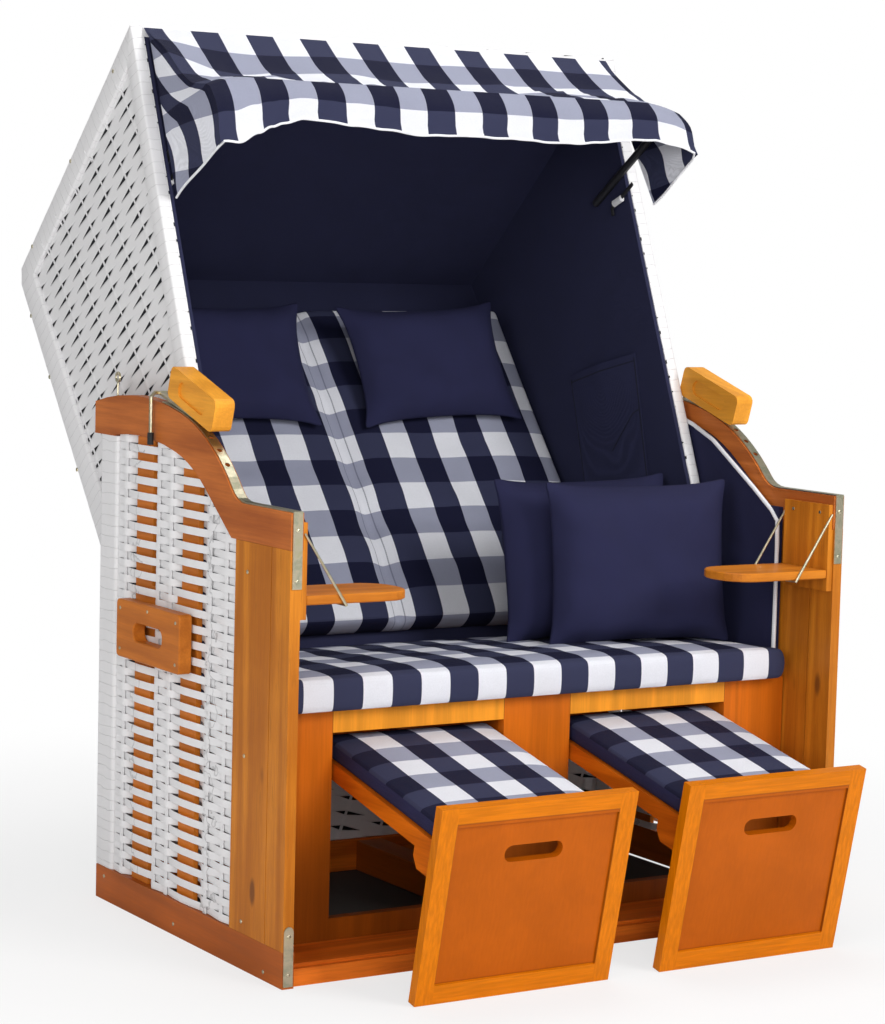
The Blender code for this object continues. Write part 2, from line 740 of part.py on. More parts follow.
def make_seat_box():
    """The seat's front frame, its board and the grooved guides of the footrests."""
    inner = WIDTH / 2 - SIDE_RAIL_THICKNESS - GAP
    y = (SEAT_FRONT_Y, SEAT_FRONT_Y + SEAT_FRONT_THICKNESS)
    front = piece(
        "seat_box_front", block((-inner, inner), y, (SILL_HEIGHT + GAP, SEAT_TOP)), "wood", chair
    )
    for side in SIDES.values():
        middle = side * OPENING_CENTRE_X
        half = OPENING_WIDTH / 2
        through = (y[0] - CUT_OVERRUN, y[1] + CUT_OVERRUN)
        cut(
            front,
            block((middle - half, middle + half), through, (OPENING_BOTTOM, OPENING_TOP)),
        )
    board = ((-inner, inner), (y[1] + GAP, SEAT_BOARD_REAR))
    form = block(*board, (SEAT_TOP - SEAT_BOARD_THICKNESS, SEAT_TOP))
    piece("seat_board", form, "pale_wood", chair)

    begin, end = y[1] + GAP, SEAT_BOARD_REAR - GUIDE_REAR_BAR
    edges = []
    for side in (-1, 1):
        for wall in (-1, 1):
            near = side * OPENING_CENTRE_X + wall * OPENING_WIDTH / 2
            edges.append(tuple(sorted((near, near + wall * GUIDE_THICKNESS))))
    plan = [(edges[0][0], SEAT_BOARD_REAR)]
    for low, high in edges:
        plan += [(low, end), (low, begin), (high, begin), (high, end)]
    plan.append((edges[-1][1], SEAT_BOARD_REAR))
    plan.remove((edges[0][0], end))
    plan.remove((edges[-1][1], end))
    under_board = SEAT_TOP - SEAT_BOARD_THICKNESS - GAP
    guides = piece(
        "footrest_guides",
        prism(plan, under_board - GUIDE_HEIGHT, under_board, "z"),
        "pale_wood",
        chair,
    )
    out, pushed = footrest_places()
    half = AXLE_RADIUS + AXLE_RUNNING_CLEARANCE
    slope = atan2(pushed[1] - out[1], pushed[0] - out[0]) * 180 / pi
    groove = arc(out, half, slope + 90, slope + 270, 8) + arc(pushed, half, slope - 90, slope + 90, 8)
    cut(guides, prism(groove, edges[0][0] - CUT_OVERRUN, edges[-1][1] + CUT_OVERRUN))


def make_footrests():
    """Two pull-out footrests: panel, frame and cushion tilt on an axle that slides in the guides."""
    out, _ = footrest_places()
    half_frame = OPENING_WIDTH / 2 - FOOTREST_SIDE_CLEARANCE
    face = -FOOTREST_REACH
    behind = face + PANEL_THICKNESS
    half_rail = FOOTREST_RAIL_HEIGHT / 2
    panel_z = (-FOOTREST_RAIL_CENTRE, PANEL_HEIGHT - FOOTREST_RAIL_CENTRE)
    half_panel = PANEL_WIDTH / 2
    for hand, side in SIDES.items():
        middle = side * OPENING_CENTRE_X
        glide = empty(f"footrest_glide_{hand}", chair, (middle, *out))
        hung = empty(f"footrest_tilt_{hand}", glide, (0, 0, 0), FOOTREST_TILT)
        axle_half = OPENING_WIDTH / 2 + AXLE_GRIP
        form = rod((-axle_half, 0, 0), (axle_half, 0, 0), AXLE_RADIUS, 16)
        piece(f"footrest_axle_{hand}", form, "pale_wood", glide, smooth=True)

        form = block((-half_panel, half_panel), (face, behind), panel_z)
        panel = piece(f"footrest_panel_{hand}", form, "wood", hung)
        inside = half_panel - PANEL_BORDER
        field = (panel_z[0] + PANEL_BORDER, panel_z[1] - PANEL_BORDER)
        cut(panel, block((-inside, inside), (face - CUT_OVERRUN, face + PANEL_RECESS), field))
        centre = panel_z[1] - PANEL_SLOT_DROP
        slot = round_rect(
            (-PANEL_SLOT_LENGTH / 2, PANEL_SLOT_LENGTH / 2),
            (centre - PANEL_SLOT_HEIGHT / 2, centre + PANEL_SLOT_HEIGHT / 2),
            PANEL_SLOT_HEIGHT * 0.49,
            5,
        )
        cut(panel, prism(slot, face - CUT_OVERRUN, behind + CUT_OVERRUN, "y"))

        start = behind + GAP
        rail = [
            (start, half_rail),
            (FOOTREST_TAIL, half_rail),
            (FOOTREST_TAIL, -half_rail),
            (start + FOOTREST_BLOCK_LENGTH, -half_rail),
            (start + FOOTREST_BLOCK_LENGTH, -half_rail - FOOTREST_BLOCK_DROP / 2),
            (start + FOOTREST_BLOCK_LENGTH - half_rail, -half_rail - FOOTREST_BLOCK_DROP),
            (start, -half_rail - FOOTREST_BLOCK_DROP),
        ]
        inner = half_frame - FOOTREST_RAIL_THICKNESS
        frame = piece(f"footrest_frame_{hand}", prism(rail, -half_frame, -inner), "wood", hung)
        add(frame, prism(rail, inner, half_frame))
        first = start + FOOTREST_BLOCK_LENGTH
        run = FOOTREST_TAIL - FOOTREST_CROSS_WIDTH - first
        overlap = FOOTREST_RAIL_THICKNESS / 2
        for k in range(FOOTREST_CROSSES):
            y = first + run * k / (FOOTREST_CROSSES - 1)
            cross = ((y, y + FOOTREST_CROSS_WIDTH), (0, half_rail))
            add(frame, block((-inner - overlap, inner + overlap), *cross))
        hole = AXLE_RADIUS + BOLT_CLEARANCE
        ends = half_frame + CUT_OVERRUN
        cut(frame, rod((-ends, 0, 0), (ends, 0, 0), hole, 16))

        size = (2 * half_frame - FOOTREST_RAIL_THICKNESS / 2, FOOTREST_TAIL - start - GAP)
        form = pad(size, FOOT_CUSHION_THICKNESS, FOOT_CUSHION_CROWN, (8, 10))
        place = Vector((0, (start + FOOTREST_TAIL + GAP) / 2, half_rail + GAP))
        bmesh.ops.translate(form, verts=form.verts, vec=place)
        piece(f"footrest_cushion_{hand}", form, "gingham", hung, smooth=True)


def pad(size, thickness, crown, steps, seams=(), pull_share=0.02, slope=0.0):
    """A boxed cushion on z = 0: crowned top, rounded and drawn-in sides, flat underside."""
    form = bmesh.new()
    half_x, half_y = size[0] / 2, size[1] / 2
    nx, ny = steps
    levels = ((0.0, 0.975), (0.25, 1.0), (0.72, 1.0), (1.0, 0.965))

    def outline(u, v, spread):
        pull_x = 1 - pull_share * (1 - v * v) * abs(u) ** 4
        pull_y = 1 - pull_share * (1 - u * u) * abs(v) ** 4
        return half_x * u * pull_x * spread, half_y * v * pull_y * spread

    def height(x, y, u, v):
        rise = crown * (1 - u**4) * (1 - v**4) + slope * v / 2
        for seam in seams:
            rise -= SEAM_DEPTH * exp(-(((x - seam) / SEAM_WIDTH) ** 2))
        return thickness + rise

    border = [(-1 + 2 * i / nx, -1) for i in range(nx)]
    border += [(1, -1 + 2 * j / ny) for j in range(ny)]
    border += [(1 - 2 * i / nx, 1) for i in range(nx)]
    border += [(-1, 1 - 2 * j / ny) for j in range(ny)]
    rings = []
    for share, spread in levels:
        ring = []
        for u, v in border:
            x, y = outline(u, v, spread)
            ring.append(form.verts.new((x, y, height(x, y, u, v) * share)))
        rings.append(ring)
    for one, two in zip(rings, rings[1:]):
        for k in range(len(border)):
            nxt = (k + 1) % len(border)
            form.faces.new((one[k], one[nxt], two[nxt], two[k]))
    form.faces.new(rings[0][::-1])
    edge = {key: vert for key, vert in zip(border, rings[-1])}
    grid = {}
    for i in range(nx + 1):
        for j in range(ny + 1):
            u, v = -1 + 2 * i / nx, -1 + 2 * j / ny
            near = min(edge, key=lambda key: abs(key[0] - u) + abs(key[1] - v))
            if abs(near[0] - u) + abs(near[1] - v) < 1 / (nx * ny):
                grid[i, j] = edge[near]
                continue
            x, y = outline(u, v, levels[-1][1])
            lift = min(1.0, (1 - max(abs(u), abs(v))) * min(nx, ny) / 2)
            rise = height(x, y, u, v) + lift * crown / 2
            grid[i, j] = form.verts.new((x, y, rise))
    for i in range(nx):
        for j in range(ny):
            corners = (grid[i, j], grid[i + 1, j], grid[i + 1, j + 1], grid[i, j + 1])
            form.faces.new(corners)
    return form


def pillow(size, thickness, steps, pull_share=0.07):
    """A loose pillow about z = 0: a full middle that thins to a seam, with drawn-in sides."""
    form = bmesh.new()
    half_x, half_y = size[0] / 2, size[1] / 2
    nx, ny = steps
    seam_share = 0.06

    def place(u, v, face):
        x = half_x * u * (1 - pull_share * (1 - v * v) * u * u)
        y = half_y * v * (1 - pull_share * (1 - u * u) * v * v)
        full = (1 - u**4) * (1 - v**4)
        return x, y, face * thickness / 2 * (seam_share + (1 - seam_share) * full**0.6)

    grids = []
    for face in (-1, 1):
        grid = {}
        for i in range(nx + 1):
            for j in range(ny + 1):
                u, v = -1 + 2 * i / nx, -1 + 2 * j / ny
                grid[i, j] = form.verts.new(place(u, v, face))
        for i in range(nx):
            for j in range(ny):
                corners = (grid[i, j], grid[i + 1, j], grid[i + 1, j + 1], grid[i, j + 1])
                form.faces.new(corners)
        grids.append(grid)
    border = [(i, 0) for i in range(nx)] + [(nx, j) for j in range(ny)]
    border += [(nx - i, ny) for i in range(nx)] + [(0, ny - j) for j in range(ny)]
    for k, key in enumerate(border):
        nxt = border[(k + 1) % len(border)]
        form.faces.new((grids[0][key], grids[0][nxt], grids[1][nxt], grids[1][key]))
    return form


def make_tables():
    """A D-shaped board on each side, hinged to a plate and held by a wire bail."""
    y = (PLATE_FRONT, PLATE_FRONT + PLATE_DEPTH)
    near = BOARD_THICKNESS + GAP
    hinge = near + PLATE_THICKNESS + GAP
    for hand, side in SIDES.items():
        depths = (near, ARM_THICKNESS + GAP, near + PLATE_THICKNESS)
        x = [side * (WIDTH / 2 - depth) for depth in depths]
        step = ARM_FRONT_BOTTOM - GAP
        plan = [
            (x[0], PLATE_BOTTOM),
            (x[0], step),
            (x[1], step),
            (x[1], PLATE_TOP),
            (x[2], PLATE_TOP),
            (x[2], PLATE_BOTTOM),
        ]
        piece(f"table_plate_{hand}", prism(plan, *y, "y"), "pale_wood", chair)

        hinge_x = side * (WIDTH / 2 - hinge)
        fold = empty(f"table_fold_{hand}", chair, (hinge_x, 0, TABLE_TOP))
        reach = -side * TABLE_REACH
        corner = -side * TABLE_CORNER
        rear_start, rear_end = (0, 90) if side < 0 else (180, 90)
        plan = [(0, y[0]), (0, y[1])]
        plan += arc((reach - corner, y[1] - TABLE_CORNER), TABLE_CORNER, rear_end, rear_start, 5)
        plan += arc((reach - corner, y[0] + TABLE_CORNER), TABLE_CORNER, -rear_start, -rear_end, 5)
        form = prism(plan, -TABLE_THICKNESS, 0, "z")
        ease(piece(f"table_board_{hand}", form, "pale_wood", fold), EASED)

        top = side * (WIDTH / 2 - near - PLATE_THICKNESS / 2)
        swing = empty(f"table_stay_swing_{hand}", chair, (top, 0, STAY_TOP))
        drop = TABLE_TOP - TABLE_THICKNESS - STAY_RADIUS - GAP - STAY_TOP
        out = hinge_x - side * STAY_REACH - top
        front = y[0] - GAP - STAY_RADIUS
        rear = y[1] + GAP + STAY_RADIUS
        bail = [
            (0, front, 0),
            (out, front, drop),
            (out, rear, drop),
            (0, rear, 0),
        ]
        form = wire(bail, STAY_RADIUS)
        piece(f"table_stay_{hand}", form, "zinc", swing, smooth=True)


HOOD_A = (HOOD_FRONT, HOOD_TOP)
HOOD_B = (HOOD_BACK, HOOD_BACK_TOP)
HOOD_C = (HOOD_FOOT, -HOOD_FOOT_DROP)


def hood_path(inset):
    """Roof and back lines of the hood, moved inwards, as three corners from front to foot."""
    moved = offset_path([HOOD_A, HOOD_B, HOOD_C], -inset)
    roof_front = meet(moved[0], moved[1], (HOOD_FRONT, 0), (HOOD_FRONT, HOOD_TOP))
    foot = meet(moved[1], moved[2], (0, -HOOD_FOOT_DROP), (HOOD_FOOT, -HOOD_FOOT_DROP))
    return [roof_front, moved[1], foot]


def rounded_corner(path, radius, steps):
    """Replaces the middle corner of a three-corner path by an arc."""
    a, b, c = (Vector(p) for p in path)
    one, two = (a - b).normalized(), (c - b).normalized()
    half = one.angle(two) / 2
    centre = b + (one + two).normalized() * radius / sin(half)
    start = b + one * radius / tan(half) - centre
    sweep = pi - 2 * half
    begin = atan2(start[1], start[0])
    return arc(centre, radius, 180 / pi * begin, 180 / pi * (begin - sweep), steps)


def hood_outline(inset_front, inset_roof, inset_back):
    """The side of the hood, moved in by its members' widths."""
    roof = hood_path(inset_roof)
    back = hood_path(inset_back)
    corner = meet(roof[0], roof[1], back[1], back[2])
    front = HOOD_FRONT + inset_front
    top = meet(roof[0], roof[1], (front, 0), (front, HOOD_TOP))
    foot = meet(back[1], back[2], (0, -HOOD_FOOT_DROP), HOOD_C)
    outline = [top] + rounded_corner([top, corner, foot], HOOD_BACK_ROUNDING, 4) + [foot]
    bottom = HOOD_BOTTOM_DROP
    return outline + [(bottom, -bottom), (-bottom, -bottom), (front, HOOD_FRONT_END)]


def make_hood():
    """Two framed sides, roof and back of weave, a fabric lining inside and the two bolts."""
    outer = hood_outline(0, 0, 0)
    field = raised_field(hood_outline(HOOD_FRONT_MEMBER, HOOD_ROOF_MEMBER, HOOD_BACK_MEMBER))
    for hand, side in SIDES.items():
        layers = (HOOD_OUTER, HOOD_OUTER + HOOD_SIDE_THICKNESS)
        made = piece(f"hood_side_{hand}", prism(outer, *span(side, *layers)), "weave", hood_axis)
        above = (layers[0] - CUT_OVERRUN, layers[0] + HOOD_OUTER_RECESS)
        below = (layers[1] - HOOD_INNER_RECESS, layers[1] + CUT_OVERRUN)
        cut(made, prism(field, *span(side, *above)))
        cut(made, prism(field, *span(side, *below)))
        drill_pivot(made, side, hood_axis)

    inner = WIDTH / 2 - HOOD_OUTER - HOOD_SIDE_THICKNESS - GAP
    walls = [hood_path(0), hood_path(HOOD_WALL)]
    turned = rounded_corner(walls[0], HOOD_BACK_ROUNDING, 4)
    tight = rounded_corner(walls[1], HOOD_BACK_ROUNDING - HOOD_WALL, 4)
    outside = [walls[0][0]] + turned + [walls[0][2]]
    inside = [walls[1][0]] + tight + [walls[1][2]]
    middle = 3
    roof = outside[: middle + 1] + inside[: middle + 1][::-1]
    piece("hood_roof", prism(roof, -inner, inner), "weave", hood_axis)
    back = outside[middle:] + inside[middle:][::-1]
    along = (Vector(outside[middle + 1]) - Vector(outside[middle])).normalized() * 2 * GAP
    start = [tuple(Vector(p) + along) for p in (outside[middle], inside[middle])]
    back[0], back[-1] = start
    piece("hood_back", prism(back, -inner, inner), "weave", hood_axis)

    skin = hood_lining_outline(HOOD_WALL + GAP)
    lining = piece("hood_lining", prism(skin, -inner, inner), "navy", hood_axis)
    hollow = hood_path(HOOD_WALL + GAP + HOOD_LINING)
    far = 2 * HOOD_TOP
    room = [
        meet(hollow[0], hollow[1], (-far, 0), (-far, far)),
        hollow[1],
        meet(hollow[1], hollow[2], (0, -far), (far, -far)),
        (-far, -far),
    ]
    clear = inner - HOOD_LINING
    cut(lining, prism(room, -clear, clear))
    for side in SIDES.values():
        drill_pivot(lining, side, hood_axis)

    for hand, side in SIDES.items():
        inside_face = HOOD_OUTER + HOOD_SIDE_THICKNESS + GAP + HOOD_LINING
        tip = side * (WIDTH / 2 - SLAT_OUTER)
        head = side * (WIDTH / 2 - inside_face - GAP)
        crown = head - side * BOLT_HEAD_HEIGHT
        shank = rod((tip, 0, 0), ((head + crown) / 2, 0, 0), BOLT_RADIUS, 16)
        bolt = piece(f"hood_pivot_{hand}", shank, "zinc", hood_axis)
        add(bolt, rod((head, 0, 0), (crown, 0, 0), BOLT_HEAD_RADIUS, 16))


def raised_field(field):
    """The sides' recesses stop above the tilting bolt, which has the full thickness round it."""
    low = BOLT_HEAD_RADIUS + HOOD_FRONT_MEMBER
    kept = [p for p in field if p[1] > low]
    back = meet(field[5], field[6], (0, low), (HOOD_FOOT, low))
    return kept + [back, (HOOD_FRONT + HOOD_FRONT_MEMBER, low)]


def hood_lining_outline(inset):
    """The lining's outer shape inside roof and back, open below."""
    path = hood_path(inset)
    front = HOOD_FRONT + STRIP_THICKNESS
    top = meet(path[0], path[1], (front, 0), (front, HOOD_TOP))
    lift = HOOD_LINING / 2
    foot = meet(path[1], path[2], (0, lift - HOOD_FOOT_DROP), (1, lift - HOOD_FOOT_DROP))
    turn = rounded_corner([top, path[1], foot], HOOD_BACK_ROUNDING - inset, 4)
    return [
        top,
        *turn,
        foot,
        (HOOD_BOTTOM_DROP, lift - HOOD_BOTTOM_DROP),
        (-HOOD_BOTTOM_DROP, lift - HOOD_BOTTOM_DROP),
        (front, HOOD_FRONT_END + lift),
    ]


def make_back_cushions():
    """The long back cushion with its centre seam, and two neck pillows on it."""
    depth = HOOD_WALL + GAP + HOOD_LINING + GAP
    path = hood_path(depth)
    up = (Vector(path[1]) - Vector(path[2])).normalized()
    lean = 180 / pi * atan2(up[1], up[0])
    half = HOOD_HALF_ROOM - CUSHION_SIDE_GAP
    start = Vector(path[2]) + up * BACK_CUSHION_START
    bed = empty("back_bed", hood_axis, (0, *start), lean)
    long = (Vector(path[1]) - start).length - BACK_CUSHION_HEADROOM
    form = pad(
        (2 * half, long),
        BACK_CUSHION_THICKNESS,
        BACK_CUSHION_CROWN,
        (22, 12),
        seams=(0,),
    )
    bmesh.ops.translate(form, verts=form.verts, vec=(0, long / 2, 0))
    piece("back_cushion", form, "gingham", bed, smooth=True)
    clear = BACK_CUSHION_THICKNESS + BACK_CUSHION_CROWN + NECK_SEAT + NECK_THICKNESS / 2
    for hand, side in SIDES.items():
        form = pillow((NECK_LENGTH, NECK_HEIGHT), NECK_THICKNESS, (10, 8))
        place = (side * NECK_CENTRE_X, long - NECK_FROM_TOP, clear)
        bmesh.ops.translate(form, verts=form.verts, vec=place)
        piece(f"neck_pillow_{hand}", form, "navy", bed, smooth=True)


def make_seat_cushions():
    """The seat cushion and two scatter pillows that stand on it."""
    half = WIDTH / 2 - LINING_OUTER - LINING_THICKNESS - CUSHION_SIDE_GAP
    long = SEAT_CUSHION_REAR - SEAT_CUSHION_FRONT
    form = pad(
        (2 * half, long),
        SEAT_CUSHION_THICKNESS,
        SEAT_CUSHION_CROWN,
        (24, 10),
        seams=(0,),
        slope=-SEAT_CUSHION_FALL,
    )
    place = (0, (SEAT_CUSHION_FRONT + SEAT_CUSHION_REAR) / 2, SEAT_TOP + GAP)
    bmesh.ops.translate(form, verts=form.verts, vec=place)
    piece("seat_cushion", form, "gingham", chair, smooth=True)
    seat = SEAT_TOP + SEAT_CUSHION_THICKNESS + 2 * SEAT_CUSHION_CROWN
    stands = {
        "scatter_pillow_front": (SCATTER_FRONT_X, SCATTER_FRONT_Y, SCATTER_FRONT_SINK, SCATTER_FRONT_LEAN),
        "scatter_pillow_rear": (SCATTER_REAR_X, SCATTER_REAR_Y, SCATTER_REAR_SINK, SCATTER_REAR_LEAN),
    }
    for name, (x, y, sink, lean) in stands.items():
        foot = empty(f"{name}_foot", chair, (x, y, seat - sink), lean)
        form = pillow((SCATTER_LENGTH, SCATTER_HEIGHT), SCATTER_THICKNESS, (10, 10))
        rise = SCATTER_HEIGHT / 2 + PILLOW_LIFT
        bmesh.ops.translate(form, verts=form.verts, vec=(0, rise, 0))
        piece(name, form, "navy", foot, smooth=True)


def make_awning():
    """A bent tube on two pivots inside the hood, and the cloth from the hood's front edge over it."""
    half = HOOD_HALF_ROOM - GAP - BOW_RADIUS
    pivot = Vector(BOW_PIVOT)
    bar = Vector(BOW_BAR) - pivot
    arm = bar.length
    axis = empty("bow_axis", hood_axis, (0, *BOW_PIVOT))
    forward = bar.normalized()
    plan = [(-half, 0), (-half, arm - BOW_CORNER)]
    plan += arc((-half + BOW_CORNER, arm - BOW_CORNER), BOW_CORNER, 180, 90, 4)[1:]
    plan += arc((half - BOW_CORNER, arm - BOW_CORNER), BOW_CORNER, 90, 0, 4)
    plan.append((half, 0))
    points = [(x, forward[0] * out, forward[1] * out) for x, out in plan]
    piece("awning_bow", wire(points, BOW_RADIUS), "zinc", axis, smooth=True)
    piece("awning_cloth", awning_form(), "gingham", hood_axis, smooth=True)


def awning_form():
    """A thin closed sheet: roof part, ridge over the bow, scalloped valance and two side flaps."""
    columns, flap = 30, 3
    roof_rows, drop_rows = 5, 4
    start = Vector((HOOD_FRONT - GAP - AWNING_THICKNESS, HOOD_TOP - HOOD_WALL / 2))
    lift = BOW_RADIUS + AWNING_THICKNESS + 2 * GAP
    ridge = Vector(BOW_BAR) + Vector((-1, 1)).normalized() * lift * RIDGE_LIFT_SHARE
    hem = ridge + Vector((-AWNING_WAVE, -AWNING_VALANCE))
    tip = Vector(AWNING_TIP)
    half = WIDTH / 2 - HOOD_OUTER - AWNING_SIDE_OVERLAP

    def profile(row):
        if row <= roof_rows:
            share = row / roof_rows
            sag = AWNING_WAVE * sin(pi * share)
            return start.lerp(ridge, share) + Vector((0, -sag))
        return ridge.lerp(hem, (row - roof_rows) / drop_rows)

    rows = roof_rows + drop_rows
    side_hem = [start.lerp(tip, row / rows) for row in range(rows + 1)]
    layers = []
    form = bmesh.new()
    for depth in (0, AWNING_THICKNESS):
        grid = []
        for column in range(-flap, columns + flap + 1):
            inside = min(max(column, 0), columns)
            u = -1 + 2 * inside / columns
            past = abs(column - inside) / flap
            line = []
            for row in range(rows + 1):
                flat = profile(row).lerp(side_hem[row], past)
                below = max(0, row - roof_rows) / drop_rows
                wave = AWNING_WAVE * below * (1 + sin(pi * AWNING_WAVES * u)) * (1 - past)
                x = u * half - u * depth * past
                inward = Vector((1, -0.4)).normalized() * depth * (1 - past)
                y, z = flat + Vector((-wave, 0)) + inward
                line.append(form.verts.new((x, y, z)))
            grid.append(line)
        layers.append(grid)
    outer, inner = layers
    last_column, last_row = len(outer) - 1, rows
    for i in range(last_column):
        for j in range(last_row):
            form.faces.new((outer[i][j], outer[i + 1][j], outer[i + 1][j + 1], outer[i][j + 1]))
            form.faces.new((inner[i][j], inner[i + 1][j], inner[i + 1][j + 1], inner[i][j + 1]))
    for i in range(last_column):
        for j in (0, last_row):
            form.faces.new((outer[i][j], outer[i + 1][j], inner[i + 1][j], inner[i][j]))
    for j in range(last_row):
        for i in (0, last_column):
            form.faces.new((outer[i][j], outer[i][j + 1], inner[i][j + 1], inner[i][j]))
    return form


def make_locks():
    """A wooden grip, its pinned steel rod across the arm rail and the rod's rubber cap."""
    lean = LOCK_ANGLE + HOOD_RECLINE
    out = Vector((-sin(radians(lean)), cos(radians(lean))))
    back = Vector((cos(radians(lean)), sin(radians(lean))))
    strip_top = ARM_RADIUS + GAP + STRIP_THICKNESS
    arm_low = strip_top + GAP * 5
    grip_low = arm_low + ARM_PLATE_THICKNESS + GAP
    rod_out = ARM_RADIUS + ROD_OVER_ARM
    rod_at = rod_out * Vector((-sin(radians(ROD_ANGLE)), cos(radians(ROD_ANGLE))))
    along = rod_at.dot(back)
    aside = rod_at.dot(out)
    down = Vector((sin(radians(HOOD_RECLINE)), -cos(radians(HOOD_RECLINE))))

    def at(run, rise):
        """A point given along the grip and away from the tilting axis, from the rod."""
        return tuple(back * run + out * rise - rod_at)

    for hand, side in SIDES.items():
        axis = empty(f"lock_axis_{hand}", hood_axis, (0, *rod_at))
        half = HANDLE_LENGTH / 2
        plan = round_rect((-half, half), (grip_low, grip_low + HANDLE_HEIGHT), HANDLE_ROUNDING)
        x = span(side, HANDLE_INSET, HANDLE_INSET + HANDLE_THICKNESS)
        outline = [at(a, b) for a, b in plan]
        grip = piece(f"lock_handle_{hand}", prism(outline, *x), "pale_wood", axis)
        middle = grip_low + HANDLE_HEIGHT / 2
        recess = round_rect(
            (-HANDLE_GRIP_LENGTH / 2, HANDLE_GRIP_LENGTH / 2),
            (middle - HANDLE_GRIP_HEIGHT / 2, middle + HANDLE_GRIP_HEIGHT / 2),
            HANDLE_GRIP_HEIGHT * 0.49,
        )
        recess = [at(a, b) for a, b in recess]
        depth = HANDLE_GRIP_DEPTH
        cut(grip, prism(recess, x[0] - CUT_OVERRUN, x[0] + depth))
        cut(grip, prism(recess, x[1] - depth, x[1] + CUT_OVERRUN))

        inner_end = side * (WIDTH / 2 - HOOD_OUTER + GAP)
        outer_end = side * (WIDTH / 2 + ROD_OUTER)
        bend = side * ROD_RADIUS * 2
        leg = down * ROD_LEG
        turn = down * ROD_RADIUS * 2
        points = [
            (inner_end, 0, 0),
            (outer_end - bend, 0, 0),
            (outer_end, *turn),
            (outer_end, *leg),
        ]
        steel = piece(f"lock_rod_{hand}", wire(points, ROD_RADIUS), "zinc", axis, smooth=True)
        centre = side * (WIDTH / 2 - ARM_THICKNESS / 2)
        plate_half = ARM_PLATE_WIDTH / 2
        end = -ARM_PLATE_WIDTH / 2
        plate = [
            at(along, aside - ARM_PLATE_THICKNESS / 2),
            at(end, arm_low),
            at(end, arm_low + ARM_PLATE_THICKNESS),
            at(along, aside + ARM_PLATE_THICKNESS / 2),
        ]
        add(steel, prism(plate, centre - plate_half, centre + plate_half))
        foot = at(0, strip_top + PIN_CLEARANCE)
        head = at(0, arm_low + ARM_PLATE_THICKNESS / 2)
        add(steel, rod((centre, *foot), (centre, *head), PIN_RADIUS, 10))
        start = down * (ROD_LEG + GAP)
        stop = down * (ROD_LEG + CAP_LENGTH)
        form = rod((outer_end, *start), (outer_end, *stop), CAP_RADIUS, 10)
        piece(f"lock_cap_{hand}", form, "rubber", axis, smooth=True)


make_base()
make_boards()
make_arms()
make_woven_sides()
make_side_linings()
make_carry_handles()
make_seat_box()
make_footrests()
make_tables()
make_hood()
make_back_cushions()
make_seat_cushions()
make_awning()
make_locks()
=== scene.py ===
"""The dressed beach chair: woven bands, wrapped members, varnished wood and checked or navy cloth."""

from math import atan2, cos, exp, hypot, pi, radians, sin, sqrt

import bmesh
import bpy
from mathutils import Matrix, Vector, noise


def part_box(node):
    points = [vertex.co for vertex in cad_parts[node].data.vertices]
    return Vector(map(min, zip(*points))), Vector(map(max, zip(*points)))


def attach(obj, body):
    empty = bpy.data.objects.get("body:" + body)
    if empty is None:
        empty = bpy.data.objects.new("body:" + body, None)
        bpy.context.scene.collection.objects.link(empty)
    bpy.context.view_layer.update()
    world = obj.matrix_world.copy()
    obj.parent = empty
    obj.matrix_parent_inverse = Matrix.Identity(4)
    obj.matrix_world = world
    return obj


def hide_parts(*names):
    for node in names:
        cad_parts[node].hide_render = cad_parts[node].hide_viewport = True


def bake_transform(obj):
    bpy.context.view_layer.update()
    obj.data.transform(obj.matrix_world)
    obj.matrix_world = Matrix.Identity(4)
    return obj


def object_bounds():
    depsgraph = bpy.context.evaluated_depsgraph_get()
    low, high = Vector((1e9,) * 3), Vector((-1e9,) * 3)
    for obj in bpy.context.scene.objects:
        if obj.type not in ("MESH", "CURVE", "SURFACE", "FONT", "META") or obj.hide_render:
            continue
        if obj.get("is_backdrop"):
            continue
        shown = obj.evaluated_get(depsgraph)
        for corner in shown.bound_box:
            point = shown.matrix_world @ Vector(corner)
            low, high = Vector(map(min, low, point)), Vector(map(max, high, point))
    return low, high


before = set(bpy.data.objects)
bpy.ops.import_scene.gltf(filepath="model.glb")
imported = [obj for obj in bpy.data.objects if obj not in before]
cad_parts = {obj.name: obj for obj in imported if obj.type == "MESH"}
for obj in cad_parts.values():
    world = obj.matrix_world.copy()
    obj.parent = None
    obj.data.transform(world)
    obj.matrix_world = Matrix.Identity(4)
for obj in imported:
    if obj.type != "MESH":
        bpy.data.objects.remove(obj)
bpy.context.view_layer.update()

# Sizes that the solids share, in metres
WIDTH = 1.18
FRONT = -0.375
PIVOT = Vector((0, 0.135, 0.560))
TILT = radians(22.2)
U = Vector((0, cos(TILT), -sin(TILT)))
V = Vector((0, sin(TILT), cos(TILT)))
X = Vector((1, 0, 0))
CHECK = 0.0615
# Corners of the hood's side in its upright coordinates: front foot, front top, rear and heel
HOOD_FOOT, HOOD_TOP = (-0.199, 0.021), (-0.199, 1.096)
HOOD_REAR, HOOD_HEEL = (0.460, 0.851), (0.190, -0.040)


def hood(u, v, x=0.0):
    """A point of the tilted hood, from its upright coordinates."""
    return PIVOT + U * u + V * v + X * x


def hand_x(side, depth):
    """How far out a point is that lies a depth in from the chair's side."""
    return side * (WIDTH / 2 - depth)


def linear(red, green, blue):
    """A colour as seen on a screen, in light."""
    return tuple(
        c / 255 / 12.92 if c < 10.3 else ((c / 255 + 0.055) / 1.055) ** 2.4
        for c in (red, green, blue)
    )


# Materials


def forward(operation):
    return lambda self, other: self.look.maths(operation, self, other)


def reflected(operation):
    return lambda self, other: self.look.maths(operation, other, self)


def alone(operation):
    return lambda self: self.look.maths(operation, self)


